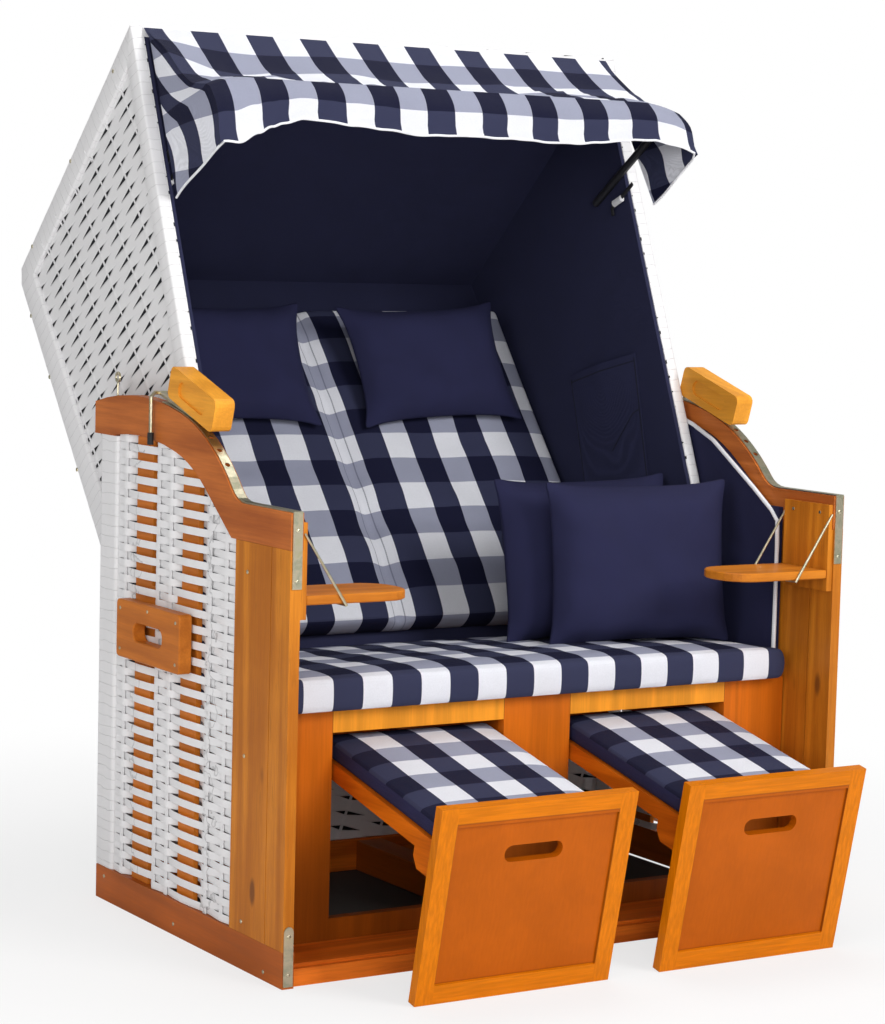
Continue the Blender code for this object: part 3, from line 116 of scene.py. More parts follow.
class Value:
    """One value running through a finish's nodes, so that shader maths reads as Python."""

    __add__, __radd__ = forward("ADD"), reflected("ADD")
    __sub__, __rsub__ = forward("SUBTRACT"), reflected("SUBTRACT")
    __mul__, __rmul__ = forward("MULTIPLY"), reflected("MULTIPLY")
    __truediv__ = forward("DIVIDE")
    __gt__, __lt__ = forward("GREATER_THAN"), forward("LESS_THAN")
    __abs__ = alone("ABSOLUTE")
    # The lesser and the greater of two values
    most, least = forward("MINIMUM"), forward("MAXIMUM")
    # The part after the decimal point, the whole part and the sine
    share, whole, wave = alone("FRACT"), alone("FLOOR"), alone("SINE")

    def __init__(self, look, socket):
        self.look = look
        self.socket = socket

    def between(self, low, high):
        """0 below low, 1 above high and a smooth rise between them."""
        return self.look.node(
            "ShaderNodeMapRange",
            {"Value": self, "From Min": low, "From Max": high},
            interpolation_type="SMOOTHSTEP",
        )


class Look:
    """A finish on the Principled shader."""

    def __init__(self, name, roughness=0.5, **sockets):
        self.material = bpy.data.materials.new(name)
        self.material.use_nodes = True
        self.tree = self.material.node_tree
        self.shader = self.tree.nodes["Principled BSDF"]
        self.shader.inputs["Roughness"].default_value = roughness
        for key, value in sockets.items():
            self.shader.inputs[key.replace("_", " ")].default_value = value

    def node(self, kind, inputs=None, output=0, stops=None, **settings):
        made = self.tree.nodes.new(kind)
        for key, value in settings.items():
            setattr(made, key, value)
        if stops:
            ramp = made.color_ramp
            while len(ramp.elements) < len(stops):
                ramp.elements.new(0.5)
            for element, (at, colour) in zip(ramp.elements, stops):
                element.position = at
                element.color = (*colour, 1)
        for key, value in (inputs or {}).items():
            self.feed(made.inputs[key], value)
        return Value(self, made.outputs[output])

    def feed(self, socket, value):
        if isinstance(value, Value):
            self.tree.links.new(value.socket, socket)
        elif socket.type == "RGBA":
            socket.default_value = (*value, 1)
        else:
            socket.default_value = value

    def maths(self, operation, one, two=None):
        inputs = {0: one} if two is None else {0: one, 1: two}
        return self.node("ShaderNodeMath", inputs, operation=operation)

    def place(self):
        return self.node("ShaderNodeTexCoord", output="Object")

    def along(self, direction, start=0.0):
        """How far a point lies along a direction, in metres."""
        run = self.node(
            "ShaderNodeVectorMath",
            {0: self.place(), 1: tuple(direction)},
            output="Value",
            operation="DOT_PRODUCT",
        )
        return run - start

    def measure(self, name):
        """A length kept on the mesh's points."""
        return self.node("ShaderNodeAttribute", output="Fac", attribute_name=name)

    def noise(self, at, scale, detail=3.0, rough=0.5, distortion=0.0):
        return self.node(
            "ShaderNodeTexNoise",
            {
                "Vector": at,
                "Scale": scale,
                "Detail": detail,
                "Roughness": rough,
                "Distortion": distortion,
            },
        )

    def stretched(self, direction, squeeze):
        """Coordinates that change slowly along the grain."""
        scale = [1 - (1 - squeeze) * abs(part) for part in direction]
        return self.node(
            "ShaderNodeVectorMath", {0: self.place(), 1: tuple(scale)}, operation="MULTIPLY"
        )

    def mix(self, share, one, two):
        return self.node(
            "ShaderNodeMix", {0: share, 6: one, 7: two}, output=2, data_type="RGBA"
        )

    def tint(self, colour, share):
        """Darkens or lightens a colour by a number."""
        grey = self.node("ShaderNodeCombineColor", {0: share, 1: share, 2: share})
        return self.node(
            "ShaderNodeMix",
            {0: 1.0, 6: colour, 7: grey},
            output=2,
            data_type="RGBA",
            blend_type="MULTIPLY",
        )

    def colour(self, value):
        self.feed(self.shader.inputs["Base Color"], value)

    def rough(self, value):
        self.feed(self.shader.inputs["Roughness"], value)

    def relief(self, height, distance, strength=1.0):
        bump = self.node(
            "ShaderNodeBump", {"Height": height, "Distance": distance, "Strength": strength}
        )
        self.feed(self.shader.inputs["Normal"], bump)


def varnished(name, grain, tone, shade=0.62, knots=False, seed=0.0, zones=None):
    """Varnished softwood: long fibres, a faint flame figure, some knots and a gloss coat."""
    look = Look(name, 0.42, Coat_Roughness=0.22, Specular_IOR_Level=0.14)
    run = look.stretched(grain, 0.045)
    run = look.node("ShaderNodeVectorMath", {0: run, 1: (seed, seed, seed)}, operation="ADD")
    flame = (look.noise(run, 9, 2, 0.5, 0.4) * 38).wave() * 0.5 + 0.5
    fibre = look.noise(run, 230, 4, 0.65)
    patch = look.noise(look.place(), 4.5, 3)
    amount = flame * 0.16 + fibre * 0.38 + patch * 0.46
    if zones:
        tone = zones(look, tone)
        dark = look.tint(tone, shade)
    else:
        dark = tuple(part * shade**power for part, power in zip(tone, (1, 1.4, 1.6)))
    bright = look.tint(tone, 1.16)
    colour = look.mix(amount.between(0.28, 0.80), dark, bright)
    if knots:
        cell = look.node(
            "ShaderNodeTexVoronoi",
            {"Vector": look.stretched(grain, 0.40), "Scale": 9.0, "Randomness": 1.0},
            output="Distance",
        )
        ring = 1 - cell.between(0.05, 0.11)
        line = 1 - (fibre.between(0.58, 0.66))
        colour = look.mix(ring * 0.75, colour, (0.12, 0.035, 0.008))
        colour = look.mix((1 - line) * 0.35, colour, (0.16, 0.05, 0.01))
    look.colour(colour)
    look.feed(look.shader.inputs["Coat Weight"], 0.02 + patch * 0.10)
    look.rough(0.38 + fibre * 0.16)
    look.relief(fibre * 0.7 + flame * 0.3, 0.0004, 0.3)
    return look.material


OPENING_NEAR, OPENING_FAR, OPENING_TOP = 0.0722, 0.4268, 0.4042
JOINT_LINE = 0.0006


def seat_zones(look, tone):
    """Upright stiles beside the two openings, darker below, and a brighter rail across the top."""
    x = abs(look.along(X))
    z = look.along(Vector((0, 0, 1)))
    stile = (x < OPENING_NEAR).least(x > OPENING_FAR)
    top = (z > OPENING_TOP) * (1 - stile)
    low = 1 - z.between(0.10, 0.42)
    shaded = look.mix(low, tone, tuple(c * 0.45 for c in tone))
    colour = look.mix(top, shaded, linear(236, 150, 40))
    near = abs(x - OPENING_NEAR) < JOINT_LINE
    joint = near.least(abs(x - OPENING_FAR) < JOINT_LINE) * (z > OPENING_TOP)
    return look.mix(joint * 0.7, colour, (0.08, 0.02, 0.004))


RAIL_TOP = 0.0636


def slat_painted_light(look, tone):
    """The slats behind the bands get a lighter tone than the rail they stand on, whose tone is painted
    shade: painted light for slats that lie in shade inside the weave.
    """
    return look.mix(look.along(Vector((0, 0, 1))) > RAIL_TOP, tone, linear(216, 124, 40))


BAND = linear(236, 235, 236)


STAKE_GAP, ROW_GAP = 0.0938, 0.0316
STAKE_LEAN, BAND_FALL = 0.352, 0.2065
ROW_STEP = 0.0120
LONG_REACH, SHORT_REACH = 0.051, 0.029
STAKE_HALF = 0.0030


def lens_weave(name, band, stake, start=(0.0, 0.0)):
    """Flat bands over thin stakes: between two bands a slit opens on both sides of each stake. The slits
    are painted near black, painted shade for the dark seen through them.
    """
    look = Look(name, 0.42, Specular_IOR_Level=0.3)
    column = (look.along(band) - look.along(stake) * STAKE_LEAN - start[0]) / STAKE_GAP
    number = (column + 0.5).whole()
    local = (column - number) * STAKE_GAP
    level = look.along(stake) + look.along(band) * BAND_FALL + number * ROW_STEP - start[1]
    row = (level / ROW_GAP + 0.5).whole()
    place = look.node("ShaderNodeCombineXYZ", {0: number, 1: row})
    uneven = look.node("ShaderNodeTexWhiteNoise", {"Vector": place}, output="Value")
    off = abs(level - row * ROW_GAP)
    side = local > 0
    limit = side * LONG_REACH + (1 - side) * SHORT_REACH
    reach = abs(local)
    half = (1 - reach / limit) * (0.0042 + uneven * 0.0016)
    slit = (half - off).between(0.0, 0.0006) * (reach > STAKE_HALF + uneven * 0.0008)
    ridge = 1 - (reach / (3 * STAKE_HALF)).between(0.2, 1.0)
    grain = look.noise(look.place(), 90, 2)
    edge = (off - half).between(0.0, 0.0035)
    # Painted shade darkens the bands towards the slits, and a painted highlight lightens their ridges over
    # the stakes; the grain is the bands' own.
    shade = 0.88 + 0.07 * edge + 0.03 * grain + 0.05 * ridge
    # The slits get a near-black colour: painted shade for the dark seen through the gaps.
    look.colour(look.mix(slit, look.tint(BAND, shade), (0.008, 0.008, 0.012)))
    look.rough(0.40 + grain * 0.14 + slit * 0.4)
    look.relief(edge * 0.6 + ridge * 0.6 - slit, 0.0022, 0.8)
    return look.material


BORDER = 0.034


def bordered(name, tone, edge, node):
    """A flat veneered field inside a paler frame, as on the footrest's front."""
    points = [v.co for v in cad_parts[node].data.vertices]
    up = Vector((0, sin(REST_TILT), cos(REST_TILT)))
    across = [p.x for p in points]
    heights = [p.dot(up) for p in points]
    middle_x = (min(across) + max(across)) / 2
    middle_z = (min(heights) + max(heights)) / 2
    look = Look(name, 0.38, Coat_Roughness=0.2, Specular_IOR_Level=0.10)
    x = abs(look.along(X, middle_x)) - (max(across) - middle_x) + BORDER
    z = abs(look.along(up, middle_z)) - (max(heights) - middle_z) + BORDER
    frame_side = x > 0
    frame_top = (z > 0) * (1 - (x > 0))
    grain_up = look.noise(look.stretched(up, 0.05), 210, 4, 0.6)
    grain_x = look.noise(look.stretched(X, 0.05), 210, 4, 0.6)
    cloud = look.noise(look.place(), 7, 4, 0.6, 0.5)
    fibre = frame_top * grain_x + (1 - frame_top) * grain_up
    dark_field, dark_edge = (tuple(c * k for c in full) for full, k in ((tone, 0.78), (edge, 0.72)))
    field = look.mix((cloud * 0.7 + fibre * 0.3).between(0.3, 0.75), dark_field, tone)
    border = look.mix((fibre * 0.8 + cloud * 0.2).between(0.3, 0.75), dark_edge, edge)
    inside = (1 - frame_side) * (1 - frame_top)
    line_x, line_z = (1 - (abs(off) / 0.0022).most(1) for off in (x, z))
    rim = line_x.least(line_z) * (x < 0.001) * (z < 0.001)
    colour = look.mix(inside, border, field)
    look.colour(look.mix(rim * 0.55, colour, (0.14, 0.04, 0.006)))
    look.feed(look.shader.inputs["Coat Weight"], 0.02 + cloud * 0.08)
    look.rough(0.28 + cloud * 0.14)
    look.relief(fibre, 0.0003, 0.25)
    return look.material


def wrapped(name, direction, pitch=0.0225):
    """Band wound round a member: a fine uneven seam at each turn."""
    look = Look(name, 0.40)
    wander = look.noise(look.place(), 26, 2)
    turn = (look.along(direction) / pitch + wander * 0.55).share()
    seam = 1 - turn.between(0.0, 0.045)
    step = turn
    shade = 0.96 + 0.05 * look.noise(look.place(), 60, 2) - seam * 0.34
    look.colour(look.tint(BAND, shade))
    look.rough(0.34 + wander * 0.16)
    look.relief(step * 0.5 - seam, 0.0009, 0.7)
    return look.material


def cloth_relief(look, at, period=0.0011):
    """Threads crossing in a plain weave, with loose puckers."""
    thread = (look.along(X) * (2 * pi / period)).wave() * (
        look.along(Vector((0, 0.8, 0.6))) * (2 * pi / period)
    ).wave()
    pucker = look.noise(at, 16, 4, 0.55, 0.4)
    look.relief(thread * 0.10 + pucker * 1.3, 0.0050, 0.65)
    return pucker


# Each navy comes with a darker copy of itself in shade, used as painted shade in the cloth's puckers.
NAVY = linear(46, 47, 83)
NAVY_SHADED = linear(34, 35, 64)
HOOD_NAVY = linear(53, 55, 87)
HOOD_NAVY_SHADED = linear(41, 43, 69)


def navy_cloth(name, deep=NAVY_SHADED, bright=NAVY):
    look = Look(name, 0.82, Specular_IOR_Level=0.2)
    pucker = cloth_relief(look, look.place())
    fleck = look.noise(look.place(), 700, 2)
    # Painted shade and light: the navy darkens towards its shaded copy in the puckers' hollows and lightens
    # on their crowns; the flecks are the cloth's own.
    look.colour(look.mix(pucker * 0.6 + fleck * 0.4, deep, bright))
    look.rough(0.74 + pucker * 0.2)
    return look.material


CHECKS = {
    "both": linear(20, 22, 50),
    "warp": linear(54, 57, 84),
    "weft": linear(160, 163, 183),
    "none": linear(238, 239, 246),
}


def checked_cloth(name, check=CHECK, across=0.0, along=0.0, flip=False, stitched=()):
    """Woven checks: navy and white warp crossed by dark and light weft."""
    look = Look(name, 0.80, Specular_IOR_Level=0.2)
    pucker = cloth_relief(look, look.place())
    run, length = look.measure("across") - across, look.measure("along") - along
    warp = (run / (2 * check)).share().between(0.496, 0.504)
    weft = (length / (2 * check)).share().between(0.496, 0.504)
    if flip:
        warp = 1 - warp
    dark = look.mix(weft, CHECKS["warp"], CHECKS["both"])
    light = look.mix(weft, CHECKS["none"], CHECKS["weft"])
    base = look.mix(warp, light, dark)
    rib = (look.measure("along") * (2 * pi / 0.0016)).wave()
    slub = look.noise(look.place(), 420, 3)
    dash = (look.measure("along") / 0.0045).share() < 0.68
    for line in stitched:
        off = abs(look.measure("across") - line)
        base = look.mix((off < 0.0012) * 0.4, base, (0.01, 0.01, 0.02))
        base = look.mix((off < 0.0005) * dash * 0.7, base, linear(120, 124, 150))
    # The pucker term paints shade in the hollows of the puckers and light on their crowns.
    look.colour(look.tint(base, 0.90 + slub * 0.14 + pucker * 0.08 + rib * 0.012))
    look.rough(0.72 + pucker * 0.2)
    return look.material


def white_piping(name):
    look = Look(name, 0.55)
    twill = (look.along(Vector((0.5, 0.5, 0.7))) * 2600).wave()
    look.colour(look.tint(linear(238, 239, 243), 0.95 + twill * 0.05))
    look.relief(twill, 0.0003, 0.5)
    return look.material


def plated(name, tone=linear(196, 190, 150), rough=0.30):
    """Zinc plate with a faint yellow and rainbow cast."""
    look = Look(name, rough, Metallic=1.0)
    cloud = look.noise(look.place(), 34, 4, 0.6, 0.8)
    cast = look.node(
        "ShaderNodeValToRGB",
        {"Fac": cloud},
        stops=[
            (0.25, tone),
            (0.45, linear(206, 196, 170)),
            (0.60, linear(176, 176, 150)),
            (0.75, linear(214, 190, 160)),
        ],
    )
    look.colour(cast)
    look.rough(rough - 0.06 + cloud * 0.2)
    look.relief(look.noise(look.place(), 300, 2), 0.0002, 0.3)
    return look.material


def dark_stuff(name, tone, rough):
    look = Look(name, rough)
    speck = look.noise(look.place(), 180, 3)
    look.colour(look.tint(tone, 0.85 + speck * 0.3))
    look.rough(rough - 0.05 + speck * 0.12)
    look.relief(speck, 0.0004, 0.4)
    return look.material


ALONG_X = (1, 0, 0)
ALONG_Y = (0, 1, 0)
ALONG_Z = (0, 0, 1)
ARM_TONE = linear(196, 112, 50)
BOARD_TONE = linear(214, 134, 36)
PANEL_TONE = linear(206, 104, 16)
FIELD_TONE = linear(186, 90, 4)
TABLE_TONE = linear(204, 124, 34)
CARRY_TONE = linear(202, 118, 38)
# The sill's wood tone is raised well above the rail wood's: its own wood colour plus painted light where
# the sill lies in shadow under the footrests.
SILL_PAINTED_LIGHT_TONE = linear(240, 126, 36)
EDGE_TONE = linear(220, 122, 4)
HANDLE_TONE = linear(242, 168, 56)
SHADE_TONE = linear(182, 92, 26)
REST_TILT = radians(12.05)

arm_wood = varnished("arm_wood", ALONG_Y, ARM_TONE)
board_wood = varnished("board_wood", ALONG_Z, BOARD_TONE, 0.60, knots=True)
# The rail wood's base tone is painted shade, and its slats above the rail top get painted light.
rail_wood = varnished("rail_wood", ALONG_Y, SHADE_TONE, 0.72, seed=3.1, zones=slat_painted_light)
sill_wood = varnished("sill_wood", ALONG_X, SILL_PAINTED_LIGHT_TONE, 0.60, seed=5.2)
seat_wood = varnished("seat_wood", ALONG_Z, PANEL_TONE, 0.78, seed=7.4, zones=seat_zones)
panel_wood_left = bordered("panel_wood_left", FIELD_TONE, EDGE_TONE, "footrest_panel_left")
panel_wood_right = bordered("panel_wood_right", FIELD_TONE, EDGE_TONE, "footrest_panel_right")
frame_wood = varnished("frame_wood", ALONG_Y, PANEL_TONE, 0.62, seed=4.4)
handle_wood = varnished("handle_wood", ALONG_Y, HANDLE_TONE, 0.76, seed=6.1)
carry_wood = varnished("carry_wood", ALONG_Y, CARRY_TONE, 0.74, seed=8.8)
table_wood = varnished("table_wood", ALONG_X, TABLE_TONE, 0.70, seed=9.1)
# One stake and one slit of the sides, in the hood's upright coordinates
FIRST_STAKE, FIRST_SLIT = 0.0120, 0.8787
SIDE_START = (
    FIRST_STAKE + PIVOT.dot(U) - STAKE_LEAN * PIVOT.dot(V),
    FIRST_SLIT + PIVOT.dot(V) + BAND_FALL * PIVOT.dot(U),
)
ROOF_RUN = (hood(*HOOD_REAR) - hood(*HOOD_TOP)).normalized()
BACK_RUN = (hood(*HOOD_REAR) - hood(*HOOD_HEEL)).normalized()
side_bands = lens_weave("side_bands", U, V, SIDE_START)
roof_bands = lens_weave("roof_bands", X, ROOF_RUN)
back_bands = lens_weave("back_bands", X, BACK_RUN)
low_bands = lens_weave("low_bands", X, Vector(ALONG_Z))
front_wrap = wrapped("front_wrap", V)
roof_wrap = wrapped("roof_wrap", ROOF_RUN)
back_wrap = wrapped("back_wrap", BACK_RUN)
post_wrap = wrapped("post_wrap", Vector(ALONG_Z), 0.020)
ribbon_white = wrapped("ribbon_white", Vector(ALONG_Y), 0.31)
navy = navy_cloth("navy_cloth")
hood_navy = navy_cloth("hood_navy", HOOD_NAVY_SHADED, HOOD_NAVY)
checks = checked_cloth("checked_cloth", 0.0594)
seamed_checks = checked_cloth("seamed_cloth", stitched=(0.018, 0.042))
awning_checks = checked_cloth("awning_checks", 0.0585, -0.428, -0.014, flip=True)
piping = white_piping("white_piping")
zinc = plated("zinc_plate")
rubber = dark_stuff("black_rubber", linear(24, 24, 26), 0.6)
strap_black = dark_stuff("strap_black", linear(26, 26, 30), 0.8)
bow_black = dark_stuff("bow_black", linear(30, 30, 33), 0.45)
clip_white = dark_stuff("clip_white", linear(226, 226, 228), 0.4)
seam_navy = dark_stuff("seam_navy", linear(20, 21, 40), 0.9)
brass = plated("brass_plate", linear(214, 190, 120), 0.26)

CARRIED_OVER = {
    "arm_rail_": arm_wood,
    "side_board_": board_wood,
    "side_rail_": rail_wood,
    "base_front_rail": sill_wood,
    "base_back_rail": sill_wood,
    "base_middle_rail": rail_wood,
    "seat_box_front": seat_wood,
    "seat_board": seat_wood,
    "footrest_guides": frame_wood,
    "footrest_frame_": frame_wood,
    "footrest_panel_left": panel_wood_left,
    "footrest_panel_right": panel_wood_right,
    "footrest_axle_": table_wood,
    "lock_handle_": handle_wood,
    "carry_handle_": carry_wood,
    "table_board_": table_wood,
    "table_plate_": board_wood,
    "rear_post_": post_wrap,
    "hood_roof": roof_bands,
    "hood_back": back_bands,
    "back_weave": low_bands,
    "hood_side_": side_bands,
    "arm_strip_": zinc,
    "corner_bracket_": zinc,
    "hood_pivot_": zinc,
    "awning_bow": bow_black,
    "lock_rod_": brass,
    "table_stay_": zinc,
    "lock_cap_": rubber,
}
for name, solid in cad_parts.items():
    for start, look in CARRIED_OVER.items():
        if name.startswith(start):
            solid.data.materials.clear()
            solid.data.materials.append(look)


# Making pieces


def piece(name, form, look, body, replaces=(), smooth=True):
    """Makes a piece from a bmesh in the frame's metres, and hangs it on its body."""
    bmesh.ops.recalc_face_normals(form, faces=form.faces)
    mesh = bpy.data.meshes.new(name)
    form.to_mesh(mesh)
    form.free()
    made = bpy.data.objects.new(name, mesh)
    bpy.context.scene.collection.objects.link(made)
    mesh.materials.append(look)
    if smooth:
        mesh.shade_smooth()
        mesh.set_sharp_from_angle(angle=radians(38))
    if body:
        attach(made, body)
    if replaces:
        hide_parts(*replaces)
    return made


def add_grid(form, rows, closed=False):
    """Faces between rows of points; closed joins the last column to the first."""
    verts = [[form.verts.new(p) for p in row] for row in rows]
    for one, two in zip(verts, verts[1:]):
        count = len(one) if closed else len(one) - 1
        for k in range(count):
            nxt = (k + 1) % len(one)
            form.faces.new((one[k], one[nxt], two[nxt], two[k]))
    return verts


def add_tube(form, points, radius, sides=8, flat=1.0, up=Vector((0, 0, 1))):
    """A round or flattened cord through points, with closed ends."""
    points = [Vector(p) for p in points]
    rings = []
    for i, point in enumerate(points):
        ahead = points[min(i + 1, len(points) - 1)]
        back = points[max(i - 1, 0)]
        along = (ahead - back).normalized()
        side = along.cross(up)
        if side.length < 1e-4:
            side = along.orthogonal()
        side.normalize()
        other = side.cross(along)
        ring = []
        for k in range(sides):
            turn = 2 * pi * k / sides
            ring.append(point + radius * (cos(turn) * side + flat * sin(turn) * other))
        rings.append(ring)
    verts = add_grid(form, rings, closed=True)
    form.faces.new(verts[0])
    form.faces.new(verts[-1])


def add_disc(form, centre, normal, radius, height, sides=12):
    """A low domed head, such as a screw or a rivet."""
    centre, normal = Vector(centre), Vector(normal).normalized()
    side = normal.orthogonal().normalized()
    other = normal.cross(side)
    rings = []
    for share, rise in ((1, 0), (0.92, 0.55), (0.6, 0.92), (0.2, 1)):
        ring = []
        for k in range(sides):
            turn = 2 * pi * k / sides
            ring.append(
                centre
                + normal * rise * height
                + radius * share * (cos(turn) * side + sin(turn) * other)
            )
        rings.append(ring)
    verts = add_grid(form, rings, closed=True)
    form.faces.new(verts[0])
    form.faces.new(verts[-1])


def add_box(form, corners, bevel=0.0):
    """A box between two corners."""
    (x0, y0, z0), (x1, y1, z1) = corners
    made = bmesh.ops.create_cube(form, size=1)
    centre = Vector(((x0 + x1) / 2, (y0 + y1) / 2, (z0 + z1) / 2))
    size = Vector((abs(x1 - x0), abs(y1 - y0), abs(z1 - z0)))
    for vert in made["verts"]:
        vert.co = Vector(a * b for a, b in zip(vert.co, size)) + centre
    if bevel:
        edges = {e for v in made["verts"] for e in v.link_edges}
        bmesh.ops.bevel(form, geom=list(edges), offset=bevel, segments=2, affect="EDGES")


HANDS = {"left": -1, "right": 1}

# Woven sides of the basket: flat bands over stakes and slats

BAND_PITCH = 0.0145
BAND_HALF = 0.0071
BAND_ROUND = 0.0006
BAND_STEPS = 84
WEAVE_REAR, WEAVE_FRONT = 0.6840, 0.1980
WEAVE_FOOT, WEAVE_TOP = 0.0640, 0.90
STAKES = (0.652, 0.513, 0.462, 0.303, 0.241)
STAKE_WIDE = 0.006
STAKE_LAYER = (0.0053, 0.0067)
SLATS = ((0.550, 0.618), (0.363, 0.427))
SLAT_TURN = 0.004
# How deep a band lies at the weave's ends, and outside or inside a stake or a slat
REAR_DEPTH, FRONT_DEPTH = 0.0060, 0.0070
STAKE_DEPTHS = {True: 0.0036, False: 0.0084}
SLAT_DEPTHS = {True: 0.0046, False: 0.0229}
SLAT_MIDDLE = 0.0034

# The arm rail's underside: a level front, a rise, and two arcs, as (middle, height, radius)
ARM_LEVEL = 0.742
LEVEL_END, RISE_END, ARC_END = 0.2155, 0.3176, 0.4365
RISE = 0.7463
LOW_ARC = (0.51, 0.56, 0.322)
HIGH_ARC = (0.60385, 0.15986, 0.733)


def under_arm(y):
    """Height of the arm rail's underside."""
    if y < LEVEL_END:
        return ARM_LEVEL
    if y < RISE_END:
        return ARM_LEVEL + (y - LEVEL_END) * RISE
    middle, height, radius = LOW_ARC if y < ARC_END else HIGH_ARC
    return height + sqrt(radius**2 - (y - middle) ** 2)


def band_knots(row):
    """How deep a band lies at each thing that it passes, from the rear to the front."""
    knots = [(WEAVE_REAR, REAR_DEPTH)]
    crossed = [(y, y, True) for y in STAKES] + [(high, low, False) for low, high in SLATS]
    for k, (rear, front, stake) in enumerate(sorted(crossed, reverse=True)):
        outside = (k + row) % 2 == 0
        if stake:
            knots.append((rear, STAKE_DEPTHS[outside]))
            continue
        depth = SLAT_DEPTHS[outside]
        knots.append((rear - SLAT_TURN, depth))
        if outside:
            knots.append(((rear + front) / 2, SLAT_MIDDLE))
        knots.append((front + SLAT_TURN, depth))
    knots.append((WEAVE_FRONT, FRONT_DEPTH))
    return knots


def band_depth(knots, y):
    for (y1, e1), (y0, e0) in zip(knots, knots[1:]):
        if y0 <= y <= y1:
            share = (y1 - y) / (y1 - y0)
            share = share * share * (3 - 2 * share)
            return e1 + (e0 - e1) * share
    return knots[-1][1]


def band_strips(row, side):
    """The rows of points of one band, cut where the arm rail covers it."""
    middle = WEAVE_FOOT + (row + 0.5) * BAND_PITCH
    knots = band_knots(row)
    strips, current = [], []
    for step in range(BAND_STEPS + 1):
        y = WEAVE_REAR + (WEAVE_FRONT - WEAVE_REAR) * step / BAND_STEPS
        if middle - 0.004 > under_arm(y):
            strips.append(current)
            current = []
            continue
        shake = 0.0005 * noise.noise((y * 9, row * 1.7, side))
        depth = band_depth(knots, y)
        current.append(
            [
                (hand_x(side, depth + lift), FRONT + y, middle + rise + shake)
                for lift, rise in ((BAND_ROUND, -BAND_HALF), (0, 0), (BAND_ROUND, BAND_HALF))
            ]
        )
    return [strip for strip in strips + [current] if len(strip) > 2]


for hand, side in HANDS.items():
    form = bmesh.new()
    row = 0
    while WEAVE_FOOT + row * BAND_PITCH < WEAVE_TOP:
        for strip in band_strips(row, side):
            add_grid(form, strip)
        row += 1
    near, far = (hand_x(side, depth) for depth in STAKE_LAYER)
    for y in STAKES:
        rear, front = FRONT + y - STAKE_WIDE, FRONT + y + STAKE_WIDE
        add_box(form, ((near, rear, WEAVE_FOOT - 0.0005), (far, front, under_arm(y) + 0.003)))
    replaced = [f"side_weave_{hand}"]
    piece(f"side_bands_{hand}", form, ribbon_white, "basket", replaced)

# Wrapped members round the hood's sides

def crossing(a, b, c, d):
    """Where the line a-b meets the line c-d, on the hood's side."""
    one, two, between = b - a, d - c, c - a
    return a + one * (between.cross(two) / one.cross(two))


def inset(a, b, depth):
    """The line a-b moved to its right by a depth."""
    run = (b - a).normalized()
    move = Vector((run.y, -run.x)) * depth
    return a + move, b + move


CORNERS = [Vector(c) for c in (HOOD_FOOT, HOOD_TOP, HOOD_REAR, HOOD_HEEL)]


def member_lines(widths):
    """The side's four corners, moved in by each member's width."""
    lines = [inset(a, b, w) for a, b, w in zip(CORNERS, CORNERS[1:], widths)]
    inner = [lines[0][0]]
    inner += [crossing(*one, *two) for one, two in zip(lines, lines[1:])]
    return inner + [lines[-1][1]]


PROUD = 0.0006
MEMBER_LAYER = (0.041, 0.065)
MEMBER_WIDTHS = (0.0415, 0.0525, 0.0625)
MEMBER_ROUND = 0.0055
MEMBER_STEPS = 44
REAR_ROUND = 0.035
OUTER = member_lines((-PROUD, -PROUD, -PROUD))
INNER = member_lines(MEMBER_WIDTHS)
LOOKS = {"front": front_wrap, "roof": roof_wrap, "back": back_wrap}


def member_ring(outer, inner, side, place):
    """A rounded section between two points of the side, a little uneven along the member."""
    near = MEMBER_LAYER[0] - PROUD + 0.0004 * noise.noise((place * 40, 0.5, side))
    far = MEMBER_LAYER[1] + PROUD
    length = (inner - outer).length
    run = (inner - outer) / length
    corner = MEMBER_ROUND
    ring = []
    for end, (at, depth) in enumerate(((0, near), (length, near), (length, far), (0, far))):
        centre_w = at + (corner if end in (0, 3) else -corner)
        centre_x = depth + (corner if end in (0, 1) else -corner)
        for k in range(4):
            turn = radians((180, 270, 0, 90)[end] + 30 * k)
            spot = outer + run * (centre_w + corner * cos(turn))
            ring.append(hood(spot.x, spot.y, hand_x(side, centre_x + corner * sin(turn))))
    return ring


def rounded(outer, inner, member, share):
    """Rounds the hood's rear corner off the outer edge."""
    reach = {"roof": 1 - share, "back": share}.get(member, 1)
    near = max(0.0, 1 - reach / REAR_ROUND)
    return outer.lerp(inner, 0.20 * near * near)


for hand, side in HANDS.items():
    for number, (member, look) in enumerate(LOOKS.items()):
        form = bmesh.new()
        rings = []
        for i in range(MEMBER_STEPS + 1):
            share = i / MEMBER_STEPS
            share = share + 0.02 * sin(2 * pi * share) if number else share
            outer = OUTER[number].lerp(OUTER[number + 1], share)
            inner = INNER[number].lerp(INNER[number + 1], share)
            rings.append(member_ring(rounded(outer, inner, member, share), inner, side, i + number))
        verts = add_grid(form, rings, closed=True)
        form.faces.new(verts[0])
        form.faces.new(verts[-1])
        piece(f"hood_member_{member}_{hand}", form, look, "hood")

# Woven field between the members, set back from them, with stake ends folded over the roof member

FIELD_DEPTH = 0.0490
STAKE_ENDS = (
    (-0.1060, 1.0060),
    (-0.0187, 0.9751),
    (0.0687, 0.9458),
    (0.1546, 0.9141),
    (0.2408, 0.8832),
    (0.3205, 0.8529),
)
STAKE_RUN = Vector((0.332, 0.943))
